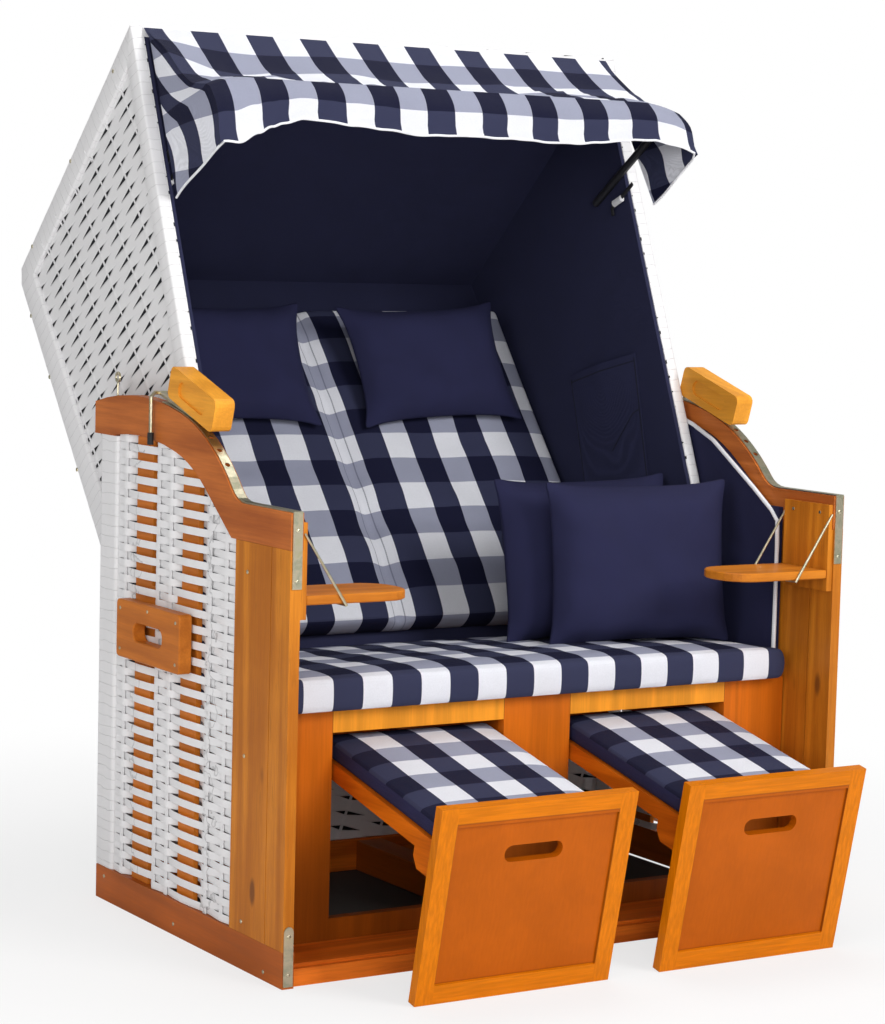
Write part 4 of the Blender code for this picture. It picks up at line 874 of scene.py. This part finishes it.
# A stake's end, as how far it is past the roof member's inner edge and how deep it lies
STAKE_FOLD = ((-0.016, 0.0486), (-0.004, 0.0470), (0.001, 0.0412), (0.009, 0.0402), (0.013, 0.0414))
STAKE_END_RADIUS = 0.0022
HOOD_SCREWS = (
    (-0.0997, 1.0448),
    (0.1400, 0.9640),
    (0.3726, 0.8782),
    (0.4267, 0.7496),
    (0.3826, 0.6036),
    (0.3200, 0.3900),
    (0.2500, 0.1600),
)
HOOD_SCREW_DEPTH, HOOD_SCREW_RADIUS, HOOD_SCREW_RISE = 0.0406, 0.0042, 0.0016

for hand, side in HANDS.items():
    form = bmesh.new()
    form.from_mesh(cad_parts[f"hood_side_{hand}"].data)
    faces_out = hand_x(1, (MEMBER_LAYER[0] + FIELD_DEPTH) / 2)
    for vert in form.verts:
        if abs(vert.co.x) > faces_out:
            vert.co.x = hand_x(side, FIELD_DEPTH)
    replaced = [f"hood_side_{hand}"]
    piece(f"hood_field_{hand}", form, side_bands, "hood", replaced, smooth=False)
    form = bmesh.new()
    for end in STAKE_ENDS:
        path = []
        for past, depth in STAKE_FOLD:
            spot = Vector(end) + STAKE_RUN * past
            path.append(hood(spot.x, spot.y, hand_x(side, depth)))
        add_tube(form, path, STAKE_END_RADIUS, 6)
    piece(f"stake_ends_{hand}", form, ribbon_white, "hood")
    form = bmesh.new()
    for u, v in HOOD_SCREWS:
        spot = hood(u, v, hand_x(side, HOOD_SCREW_DEPTH))
        add_disc(form, spot, (side, 0, 0), HOOD_SCREW_RADIUS, HOOD_SCREW_RISE)
    piece(f"hood_screws_{hand}", form, brass, "hood")

# Cushions and pillows


def grid_rim(nx, ny):
    """The places round the edge of a grid of nx by ny faces."""
    rim = [(i, 0) for i in range(nx)] + [(nx, j) for j in range(ny)]
    return rim + [(nx - i, ny) for i in range(nx)] + [(0, ny - j) for j in range(ny)]


def soften(made, levels=1):
    """Subdivides a soft piece for good and shades it smooth."""
    modifier = made.modifiers.new("soft", "SUBSURF")
    modifier.levels = levels
    modifier.render_levels = levels
    applied = bpy.data.meshes.new_from_object(
        made.evaluated_get(bpy.context.evaluated_depsgraph_get())
    )
    made.modifiers.clear()
    made.data = applied
    applied.shade_smooth()
    return made


def keep_measures(made, find):
    """Keeps the cloth's own lengths on the points: find gives across and along from a point."""
    mesh = made.data
    for name in ("across", "along"):
        if name not in mesh.attributes:
            mesh.attributes.new(name, "FLOAT", "POINT")
    pairs = [find(made.matrix_world @ v.co) for v in mesh.vertices]
    mesh.attributes["across"].data.foreach_set("value", [p[0] for p in pairs])
    mesh.attributes["along"].data.foreach_set("value", [p[1] for p in pairs])
    return made


# A cushion's side, as shares of its height and of its half width
SIDE_LEVELS = ((0.0, 0.986), (0.18, 0.998), (0.5, 1.003), (0.82, 0.996), (0.97, 0.982))


def pad_form(size, thickness, crown, cell, seams=(), creases=0.0, pull=0.012, slope=0.0, seed=0.0):
    """A boxed cushion on z = 0: crowned and creased top, rounded sides that pull in."""
    form = bmesh.new()
    nx, ny = (max(4, round(s / cell)) for s in size)
    half_x, half_y = size[0] / 2, size[1] / 2

    def spot(u, v, spread):
        x = half_x * u * spread * (1 - pull * (1 - v * v) * abs(u) ** 5)
        y = half_y * v * spread * (1 - pull * (1 - u * u) * abs(v) ** 5)
        return x, y

    def top(x, y, u, v):
        rise = crown * (1 - u**6) * (1 - v**6) + slope * v / 2
        for seam in seams:
            for depth, wide in ((0.012, 0.007), (0.006, 0.03)):
                rise -= depth * exp(-(((x - seam) / wide) ** 2))
        ripple = noise.noise((x * 7 + seed, y * 16, seed))
        ripple += 0.6 * noise.noise((x * 19, y * 31, seed + 4))
        return thickness + rise + creases * ripple * (1 - u**8) * (1 - v**8)

    border = [(-1 + 2 * i / nx, -1 + 2 * j / ny) for i, j in grid_rim(nx, ny)]
    rings = []
    for share, spread in SIDE_LEVELS:
        ring = []
        for u, v in border:
            x, y = spot(u, v, spread)
            ring.append((x, y, top(x, y, u, v) * share))
        rings.append(ring)
    verts = add_grid(form, rings, closed=True)
    for ring, (share, spread) in ((verts[-1], SIDE_LEVELS[-1]), (verts[0], SIDE_LEVELS[0])):
        edge = {(round(u * 500), round(v * 500)): vert for (u, v), vert in zip(border, ring)}
        grid = {}
        for i in range(nx + 1):
            for j in range(ny + 1):
                u, v = -1 + 2 * i / nx, -1 + 2 * j / ny
                key = (round(u * 500), round(v * 500))
                if key in edge:
                    grid[i, j] = edge[key]
                    continue
                x, y = spot(u, v, spread)
                lift = min(1.0, (1 - max(abs(u), abs(v))) * min(nx, ny) / 4)
                rise = top(x, y, u, v) * (share + (1 - share) * lift) if share else 0
                grid[i, j] = form.verts.new((x, y, rise))
        for i in range(nx):
            for j in range(ny):
                form.faces.new((grid[i, j], grid[i + 1, j], grid[i + 1, j + 1], grid[i, j + 1]))
    return form


def pillow_form(size, thickness, cell, seed=0.0, pull=0.06, creases=0.0065, ears=0.014):
    """A loose pillow about z = 0, with a full middle, soft corners and creases from the seam."""
    form = bmesh.new()
    nx, ny = (max(6, round(s / cell)) for s in size)
    half_x, half_y = size[0] / 2, size[1] / 2

    def spot(u, v, face):
        corner = (u * v) ** 6 * ears
        x = half_x * u * (1 - pull * (1 - v * v) * u * u) + corner * (1 if u > 0 else -1)
        y = half_y * v * (1 - pull * (1 - u * u) * v * v) + corner * (1 if v > 0 else -1)
        full = max(0.0, (1 - u**4) * (1 - v**4)) ** 0.58
        rim = max(abs(u), abs(v))
        radial = atan2(v, u)
        swirl = radial * 11 + seed + 2.5 * noise.noise((u, v, seed))
        ripple = creases * rim**3 * (1 - rim**8) * sin(swirl)
        ripple += creases * 1.1 * noise.noise((u * 2.2 + seed, v * 2.6, face))
        return x, y, face * (thickness / 2 * (0.02 + 0.98 * full) + ripple * full)

    grids = []
    for face in (-1, 1):
        grid = {}
        for i in range(nx + 1):
            for j in range(ny + 1):
                u, v = -1 + 2 * i / nx, -1 + 2 * j / ny
                grid[i, j] = form.verts.new(spot(u, v, face))
        for i in range(nx):
            for j in range(ny):
                form.faces.new((grid[i, j], grid[i + 1, j], grid[i + 1, j + 1], grid[i, j + 1]))
        grids.append(grid)
    border = grid_rim(nx, ny)
    for key, nxt in zip(border, border[1:] + border[:1]):
        form.faces.new((grids[0][key], grids[0][nxt], grids[1][nxt], grids[1][key]))
    return form


def put(form, place):
    bmesh.ops.transform(form, matrix=place, verts=form.verts)
    return form


def bed(origin, right, up):
    """A placing matrix from an origin and two directions."""
    right, up = Vector(right).normalized(), Vector(up).normalized()
    out = right.cross(up)
    made = Matrix((right, up, out)).transposed().to_4x4()
    made.translation = origin
    return made


BAND_FACE = 0.30


def cushion(name, place, size, body, replaces, look=checks, shift=(0.0, 0.0), banded=False, **shape):
    """A checked cushion whose pattern runs over its top and down its sides, or has navy sides."""
    form = put(pad_form(size, **shape), place)
    made = piece(name, form, look, body, replaces)
    soften(made)
    back = place.inverted()
    half_x, half_y = size[0] / 2, size[1] / 2
    top = shape["thickness"]

    def find(world):
        p = back @ world
        outer = max(abs(p.x) / half_x, abs(p.y) / half_y) > 0.9
        drop = max(0.0, 0.9 * top - p.z) if outer else 0
        across, along = p.x, p.y
        if half_y - abs(p.y) < half_x - abs(p.x):
            along += drop * (1 if p.y > 0 else -1)
        else:
            across += drop * (1 if p.x > 0 else -1)
        return across + shift[0], along + shift[1]

    keep_measures(made, find)
    if banded:
        made.data.materials.append(navy)
        out = place.to_3x3() @ Vector((0, 0, 1))
        for face in made.data.polygons:
            if face.normal.dot(out) < BAND_FACE:
                face.material_index = 1
    return made


PILLOW_CELL = 0.020


def loose_pillow(name, node, place, size, thickness, body, seed, **shape):
    form = put(pillow_form(size, thickness, PILLOW_CELL, seed, **shape), place)
    made = piece(name, form, navy, body, [node])
    soften(made)
    return made


SEAT_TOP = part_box("seat_cushion")[0][2]
SEAT_MIDDLE = FRONT + 0.3325
SEAT_SIZE = (1.098, 0.460)
cushion(
    "seat_cushion_cover",
    bed((0, SEAT_MIDDLE, SEAT_TOP), X, ALONG_Y),
    SEAT_SIZE,
    "basket",
    ["seat_cushion"],
    thickness=0.050,
    crown=0.010,
    cell=0.016,
    creases=0.0032,
    slope=-0.022,
    shift=(0.028, 0.030),
    seed=1.5,
)

BACK_SIZE = (1.022, 0.777)
BACK_START = (0.1600, -0.0165)
back_place = bed(hood(*BACK_START), X, BACK_RUN)
cushion(
    "back_cushion_cover",
    back_place @ Matrix.Translation((0, BACK_SIZE[1] / 2, 0)),
    BACK_SIZE,
    "hood",
    ["back_cushion"],
    seamed_checks,
    thickness=0.058,
    crown=0.010,
    cell=0.015,
    creases=0.0050,
    seams=(-0.006, 0.006),
    shift=(0.030, 0.010),
    seed=4.0,
)

NECK_PLACE = (0.2400, 0.5850, 0.1130)
NECK_HANG = radians(13)
NECK_TURNS = {"left": radians(-0.5), "right": radians(2.5)}
NECK_SIZE, NECK_THICKNESS = (0.372, 0.256), 0.086
for hand, side in HANDS.items():
    x, along, out = NECK_PLACE
    hang = Matrix.Rotation(NECK_HANG, 4, "X") @ Matrix.Rotation(NECK_TURNS[hand], 4, "Z")
    place = back_place @ Matrix.Translation((side * x, along, out)) @ hang
    names = f"neck_pillow_cover_{hand}", f"neck_pillow_{hand}"
    loose_pillow(*names, place, NECK_SIZE, NECK_THICKNESS, "hood", 2.0 + side)

# Name, middle, turns about X, Y and Z in degrees, size and seed
STANDING = (
    ("front", (0.3300, -0.0830, 0.6565), (84.0, -4.0, -5.0), (0.376, 0.306), 5.0),
    ("rear", (0.3000, 0.0480, 0.6540), (80.0, -3.0, 4.0), (0.398, 0.310), 9.0),
)
SCATTER_THICKNESS = 0.118
for name, spot, (about_x, about_y, about_z), size, seed in STANDING:
    place = Matrix.Translation(spot)
    for axis, turn in (("Z", about_z), ("X", about_x), ("Y", about_y)):
        place = place @ Matrix.Rotation(radians(turn), 4, axis)
    names = f"scatter_cover_{name}", f"scatter_pillow_{name}"
    loose_pillow(*names, place, size, SCATTER_THICKNESS, "basket", seed, pull=0.035, ears=0.010)

AXLE = Vector((0, FRONT + 0.166, 0.3406))
FOOTREST_APART = 0.2495
# The footrest's cushion, from the axle along its frame and over it
FOOTREST_MIDDLE = (0, -0.1840, 0.0153)
FOOTREST_SIZE = (0.340, 0.424)
for hand, side in HANDS.items():
    place = Matrix.Translation(AXLE + X * side * FOOTREST_APART)
    place = place @ Matrix.Rotation(REST_TILT, 4, "X") @ Matrix.Translation(FOOTREST_MIDDLE)
    cushion(
        f"footrest_cover_{hand}",
        place,
        FOOTREST_SIZE,
        f"footrest_{hand}",
        [f"footrest_cushion_{hand}"],
        thickness=0.034,
        crown=0.008,
        cell=0.013,
        creases=0.0012,
        shift=(0.005, 0.010),
        banded=True,
        seed=7.0 + side,
    )

# Linings


def lining(node, name, look, body):
    """A cloth cover in the shape of its board."""
    form = bmesh.new()
    form.from_mesh(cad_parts[node].data)
    piece(name, form, look, body, [node])


for hand in HANDS:
    lining(f"side_lining_{hand}", f"side_cloth_{hand}", navy, "basket")
lining("hood_lining", "hood_cloth", hood_navy, "hood")

# White piping over the top and down the front of the side linings, as (y, z)

PIPING_OUT, PIPING_RADIUS = 0.5530, 0.0042
LINING_TOP = (
    (0.180, 0.9290),
    (0.101, 0.9250),
    (0.054, 0.9120),
    (-0.014, 0.8850),
    (-0.080, 0.8440),
    (-0.146, 0.8030),
    (-0.205, 0.7640),
    (-0.2240, 0.7450),
    (-0.2262, 0.7000),
    (-0.2262, 0.5600),
    (-0.2262, 0.4480),
)
for hand, side in HANDS.items():
    form = bmesh.new()
    add_tube(form, [(side * PIPING_OUT, y, z) for y, z in LINING_TOP], PIPING_RADIUS, 8)
    piece(f"lining_piping_{hand}", form, piping, "basket")

# Pocket on the right inside of the hood, a strap with its clip, and the pocket's seams

INSIDE = 0.5165
STRAP = (
    (-0.228, 0.803),
    (-0.205, 0.797),
    (-0.178, 0.791),
    (-0.158, 0.7885),
    (-0.146, 0.782),
    (-0.1445, 0.768),
)
STRAP_OFF, STRAP_HALF = 0.0075, 0.0050
CLIP, CLIP_HEIGHT = (-0.1860, -0.1780, -0.1640, -0.1570), 0.7890
CLIP_OFF, CLIP_HALF = 0.0085, 0.0075
POCKET_THICK, POCKET_STEPS = 0.0018, 20
SEAM_RISE, SEAM_RADIUS = 0.0004, 0.0011
POCKET = [Vector(c) for c in ((0.1192, 0.5121), (-0.1186, 0.4783), (-0.0771, 0.2096), (0.1500, 0.2350))]


def pocket_spot(a, b, lift=0.0):
    """A point of the pocket: a across from the rear, b down from its mouth."""
    top, foot = POCKET[0].lerp(POCKET[1], a), POCKET[3].lerp(POCKET[2], a)
    spot = top.lerp(foot, b)
    open_mouth = 0.012 * (1 - b) ** 2 * sin(pi * a)
    slack = 0.003 * noise.noise((a * 4, b * 4, 0.7)) * sin(pi * a) * (1 - b)
    rise = 0.0022 + max(0.0, open_mouth + slack) + lift
    return hood(spot.x, spot.y, INSIDE - rise)


form = bmesh.new()
shares = [k / POCKET_STEPS for k in range(POCKET_STEPS + 1)]
one, two = (
    add_grid(form, [[pocket_spot(a, b, lift) for a in shares] for b in shares])
    for lift in (0.0, -POCKET_THICK)
)
rim = grid_rim(POCKET_STEPS, POCKET_STEPS)
for (a, b), (c, d) in zip(rim, rim[1:] + rim[:1]):
    form.faces.new((one[b][a], one[d][c], two[d][c], two[b][a]))
made = piece("hood_pocket", form, hood_navy, "hood")
form = bmesh.new()
for points in (
    [(0.02, 0.03), (0.02, 0.98), (0.98, 0.98), (0.98, 0.03)],
    [(0.02, 0.055), (0.98, 0.055)],
    [(0.52, 0.66), (0.88, 0.44), (0.98, 0.42)],
):
    line = []
    for (a0, b0), (a1, b1) in zip(points, points[1:]):
        for k in range(10):
            share = k / 10
            line.append(pocket_spot(a0 + (a1 - a0) * share, b0 + (b1 - b0) * share, SEAM_RISE))
    line.append(pocket_spot(*points[-1], SEAM_RISE))
    add_tube(form, line, SEAM_RADIUS, 5)
piece("pocket_seams", form, seam_navy, "hood")

form = bmesh.new()
for side in HANDS.values():
    path = [hood(u, v, side * (INSIDE - STRAP_OFF)) for u, v in STRAP]
    add_tube(form, path, STRAP_HALF, 8, flat=0.45, up=X)
piece("bow_straps", form, strap_black, "hood")
form = bmesh.new()
for side in HANDS.values():
    path = [hood(u, CLIP_HEIGHT, side * (INSIDE - CLIP_OFF)) for u in CLIP]
    add_tube(form, path, CLIP_HALF, 8, flat=0.8, up=X)
piece("strap_clips", form, clip_white, "hood")

# Screws, rivets and eye bolts


def heads(name, spots, normal, radius, look=brass, body="basket"):
    """Screw heads on both hands, by their places on the right."""
    form = bmesh.new()
    for side in HANDS.values():
        for x, y, z in spots:
            add_disc(form, (side * x, y, z), (side * normal[0], normal[1], normal[2]), radius, radius * 0.4)
    return piece(name, form, look, body)


OUTWARD, INWARD, FORWARD = (1, 0, 0), (-1, 0, 0), (0, -1, 0)
CARRY_FACE, SIDE_FACE, PLATE_FACE, METAL_FACE = 0.6136, 0.5898, 0.5574, -0.3772
SMALL_HEAD, MIDDLE_HEAD, LARGE_HEAD = 0.0034, 0.0036, 0.0038
carry_spots = [(CARRY_FACE, y, z) for y in (0.0030, 0.2330) for z in (0.4990, 0.5740)]
carry_spots.append((CARRY_FACE, 0.1180, 0.5800))
side_spots = [(SIDE_FACE, y, z) for y, z in ((0.3389, 0.0457), (-0.3067, 0.0147), (0.0400, 0.0200))]
side_spots += [(SIDE_FACE, -0.2224, z) for z in (0.0835, 0.3724, 0.6900)]
corner_spots = [(0.5800, METAL_FACE, z) for z in (0.0241, 0.0900)]
strip_spots = [(0.5780, METAL_FACE, z) for z in (0.6900, 0.7750)]
plate_spots = [(PLATE_FACE, y, 0.7720) for y in (-0.3450, -0.2660)]
heads("carry_screws", carry_spots, OUTWARD, SMALL_HEAD)
heads("side_screws", side_spots, OUTWARD, LARGE_HEAD)
heads("corner_screws", corner_spots, FORWARD, MIDDLE_HEAD, zinc)
heads("strip_screws", strip_spots, FORWARD, MIDDLE_HEAD, zinc)
heads("plate_screws", plate_spots, INWARD, SMALL_HEAD, zinc)
EYE_PLACE = (0.5780, 0.3340)
EYE_STEM, EYE_STEM_RADIUS = (0.9560, 0.9700, 0.9860), 0.0021
EYE_HEIGHT, EYE_LOOP, EYE_RADIUS = 0.9935, 0.0082, 0.0026
form = bmesh.new()
for side in HANDS.values():
    x, y = side * EYE_PLACE[0], EYE_PLACE[1]
    add_tube(form, [(x, y, z) for z in EYE_STEM], EYE_STEM_RADIUS, 8, up=X)
    loop = []
    for k in range(17):
        turn = 2 * pi * k / 16
        loop.append((x, y + EYE_LOOP * sin(turn), EYE_HEIGHT - EYE_LOOP * cos(turn)))
    add_tube(form, loop, EYE_RADIUS, 8, up=X)
piece("eye_bolts", form, brass, "basket")

# Awning

ROOF_EDGE = (-0.2023, 1.0880)
RIDGE = (-0.4060, 0.8990)
AWNING_HALF = 0.521
SLOPE = hypot(ROOF_EDGE[0] - RIDGE[0], ROOF_EDGE[1] - RIDGE[1])
SAG = 0.040
VALANCE = 0.080
# How much lower than straight the wavy hem hangs, at places across the cloth
HEM_DROPS = (
    (-0.521, 0.033),
    (-0.482, 0.046),
    (-0.441, 0.031),
    (-0.408, 0.015),
    (-0.383, 0.007),
    (-0.341, -0.003),
    (-0.283, 0.002),
    (-0.241, 0.008),
    (-0.178, 0.012),
    (-0.052, 0.016),
    (0.058, 0.018),
    (0.128, 0.015),
    (0.250, 0.019),
    (0.301, 0.015),
    (0.362, 0.009),
    (0.399, 0.003),
    (0.432, 0.006),
    (0.479, 0.012),
    (0.521, 0.020),
)


def read_table(table, at):
    """Smooth values between a table's places."""
    for (x0, y0), (x1, y1) in zip(table, table[1:]):
        if at <= x1:
            share = max(0.0, (at - x0) / (x1 - x0))
            share = share * share * (3 - 2 * share)
            return y0 + (y1 - y0) * share
    return table[-1][1]


def awning_point(x, share, drop):
    """A point of the cloth, by its share of the way to the ridge and its drop below that."""
    u = ROOF_EDGE[0] + (RIDGE[0] - ROOF_EDGE[0]) * share
    v = ROOF_EDGE[1] + (RIDGE[1] - ROOF_EDGE[1]) * share
    end = max(0.0, (abs(x) - 0.43) / 0.09)
    fall = 4 * share * (1 - share)
    v -= SAG * fall * (1 - 0.25 * end) + 0.020 * end * end * share
    u += 0.5 * SAG * fall * (1 - end) * 0.4
    fold = noise.noise((x * 3.1, share * 2.2, 1.3)) * 0.018
    fold += 0.006 * sin(x * 17 - share * 7) * share
    if x < -0.30:
        near = (-0.30 - x) / 0.22
        fold += 0.016 * near * sin(share * 6.2 + x * 12)
    crease = 1 - 2.4 * abs(noise.noise((x * 6.5 + 2 * share, share * 5 - x * 2, 7.7)))
    fold += 0.0080 * max(0.0, crease) * (0.4 + share)
    v += fold * fall
    if drop > 0:
        below = drop / VALANCE
        v -= drop + read_table(HEM_DROPS, x) * below
        wave = 0.006 * sin(x * 23 + 0.6) + 0.008 * noise.noise((x * 9, 2.0, 0.4))
        wave += 0.005 * noise.noise((x * 24, below * 3, 1.1))
        u -= wave * below + 0.012 * sin(pi * min(1.0, below * 1.2)) + 0.006 * below
        if x > 0.40:
            u -= 0.022 * below * (x - 0.40) / 0.12
    return u, v


ROWS = [(i / 18, 0.0) for i in range(18)] + [(1.0, VALANCE * i / 10) for i in range(11)]
# The sagging part is a little longer than the straight way to the ridge
SAG_LENGTH = 1.06
LENGTHS = [SLOPE * SAG_LENGTH * a + b for a, b in ROWS]
COLUMNS = 150
FLAP_COLUMNS = 12
FLAP_TOP = (-0.2050, 1.0860)
FLAP_TIPS = {-1: (-0.2080, 0.7450), 1: (-0.2720, 0.7400)}
HEM_RADIUS = 0.0024
form = bmesh.new()
places = [-AWNING_HALF + 2 * AWNING_HALF * c / COLUMNS for c in range(COLUMNS + 1)]
rows = [[hood(*awning_point(x, a, b), x) for x in places] for a, b in ROWS]
add_grid(form, rows)
measures = [(x, along) for along in LENGTHS for x in places]
hems = {0: rows[-1]}
for side, tip in FLAP_TIPS.items():
    flap = []
    for k, (a, b) in enumerate(ROWS):
        down = k / (len(ROWS) - 1)
        start = Vector(awning_point(side * AWNING_HALF, a, b))
        end = Vector(FLAP_TOP).lerp(Vector(tip), down)
        line = []
        for step in range(1, FLAP_COLUMNS + 1):
            share = step / FLAP_COLUMNS
            spot = start.lerp(end, share)
            bulge = 0.010 * sin(pi * share) * (1 + 0.8 * sin(9 * down + 5 * share))
            x = side * (AWNING_HALF - 0.004 + bulge * 0.5)
            line.append(hood(spot.x, spot.y, x))
            reach = (end - start).length * share
            measures.append((side * (AWNING_HALF + reach), LENGTHS[k] + 0.25 * reach))
        flap.append(line)
    verts = add_grid(form, flap)
    form.verts.ensure_lookup_table()
    column = COLUMNS if side > 0 else 0
    edge = [form.verts[k * (COLUMNS + 1) + column] for k in range(len(ROWS))]
    for k in range(len(ROWS) - 1):
        form.faces.new((edge[k], verts[k][0], verts[k + 1][0], edge[k + 1]))
    hems[side] = flap[-1]
made = piece("awning_cover", form, awning_checks, None, ["awning_cloth"])
mesh = made.data
for name, column in (("across", 0), ("along", 1)):
    mesh.attributes.new(name, "FLOAT", "POINT")
    mesh.attributes[name].data.foreach_set("value", [m[column] for m in measures])
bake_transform(made)
form = bmesh.new()
path = hems[-1][::-1] + hems[0][1:-1] + hems[1]
add_tube(form, path, HEM_RADIUS, 6)
made = piece("awning_piping", form, piping, None)
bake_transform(made)

# Floor, light and camera


INSIDE_HALF, INSIDE_FRONT, INSIDE_REAR = 0.56, -0.33, 0.36
FLOOR_TONE = (0.80, 0.80, 0.80)
SKY_LIGHT, SKY_SEEN = 0.36, 1.0


def stage():
    """A white floor, painted dark inside the basket as painted shade, and a soft white sky that the camera
    sees as white.
    """
    form = bmesh.new()
    bmesh.ops.create_grid(form, x_segments=1, y_segments=1, size=30)
    mesh = bpy.data.meshes.new("floor")
    form.to_mesh(mesh)
    form.free()
    floor = bpy.data.objects.new("floor", mesh)
    bpy.context.scene.collection.objects.link(floor)
    floor.location.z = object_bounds()[0][2] - 0.0005
    look = Look("floor_white", 0.9)
    x, y = look.along(X), look.along(Vector((0, 1, 0)))
    # Inside the basket's footprint the floor gets a dark colour and no glow: painted shade under the
    # basket.
    painted_shade_floor = (abs(x) < INSIDE_HALF) * (y > INSIDE_FRONT) * (y < INSIDE_REAR)
    look.colour(look.mix(painted_shade_floor, FLOOR_TONE, (0.05, 0.045, 0.04)))
    glow = look.node("ShaderNodeEmission", {"Color": (1, 1, 1), "Strength": 1.0})
    seen = look.node("ShaderNodeLightPath", output="Is Camera Ray")
    far = look.node(
        "ShaderNodeVectorMath", {0: look.place()}, output="Value", operation="LENGTH"
    )
    output = look.tree.nodes["Material Output"]
    mixed = look.tree.nodes.new("ShaderNodeMixShader")
    share = seen * (1 - painted_shade_floor) * (0.72 + far.between(0.9, 2.2) * 0.28)
    look.feed(mixed.inputs[0], share)
    look.tree.links.new(look.shader.outputs[0], mixed.inputs[1])
    look.tree.links.new(glow.socket, mixed.inputs[2])
    look.tree.links.new(mixed.outputs[0], output.inputs[0])
    mesh.materials.append(look.material)
    floor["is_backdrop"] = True

    world = bpy.data.worlds.new("studio")
    bpy.context.scene.world = world
    world.use_nodes = True
    tree = world.node_tree
    sky = tree.nodes["Background"]
    sky.inputs["Color"].default_value = (1, 1, 1, 1)
    path = tree.nodes.new("ShaderNodeLightPath")
    strength = tree.nodes.new("ShaderNodeMapRange")
    tree.links.new(path.outputs["Is Camera Ray"], strength.inputs["Value"])
    strength.inputs["To Min"].default_value = SKY_LIGHT
    strength.inputs["To Max"].default_value = SKY_SEEN
    tree.links.new(strength.outputs[0], sky.inputs["Strength"])


def lamp(name, place, target, size, power):
    """A square soft box at a place, turned to a target."""
    light = bpy.data.lights.new(name, "AREA")
    light.shape = "SQUARE"
    light.size = size
    light.energy = power
    made = bpy.data.objects.new(name, light)
    bpy.context.scene.collection.objects.link(made)
    made.location = place
    made.rotation_euler = (Vector(target) - Vector(place)).to_track_quat("-Z", "Y").to_euler()
    return made


stage()
lamp("key", (1.6, -4.6, 3.4), (0, 0, 0.7), 2.2, 172)
lamp("left_fill", (-4.4, -2.4, 2.2), (0, 0, 0.8), 2.2, 60)
lamp("front_fill", (-2.2, -4.6, 1.5), (0, 0, 0.9), 1.8, 62)
lamp("top_fill", (0.4, 0.8, 4.6), (0, 0, 0.8), 2.4, 80)

CAMERA_PLACE = (-2.74041, -4.31888, 1.23299)
CAMERA_TURN, CAMERA_RISE, CAMERA_ROLL = radians(-31.7795), radians(5.3473), radians(1.46876)
CAMERA_SENSOR, CAMERA_LENS = 36, 95.89
camera_data = bpy.data.cameras.new("camera")
camera_data.sensor_width = CAMERA_SENSOR
camera_data.lens = CAMERA_LENS
camera = bpy.data.objects.new("camera", camera_data)
bpy.context.scene.collection.objects.link(camera)
turn, rise, roll = CAMERA_TURN, CAMERA_RISE, CAMERA_ROLL
back = Vector((sin(turn) * cos(rise), -cos(turn) * cos(rise), sin(rise)))
right = (-back).cross(Vector(ALONG_Z)).normalized()
up = right.cross(-back)
rolled_right = cos(roll) * right + sin(roll) * up
rolled_up = -sin(roll) * right + cos(roll) * up
camera.matrix_world = Matrix((rolled_right, rolled_up, back)).transposed().to_4x4()
camera.location = CAMERA_PLACE
bpy.context.scene.camera = camera
bpy.context.scene.view_settings.view_transform = "Standard"
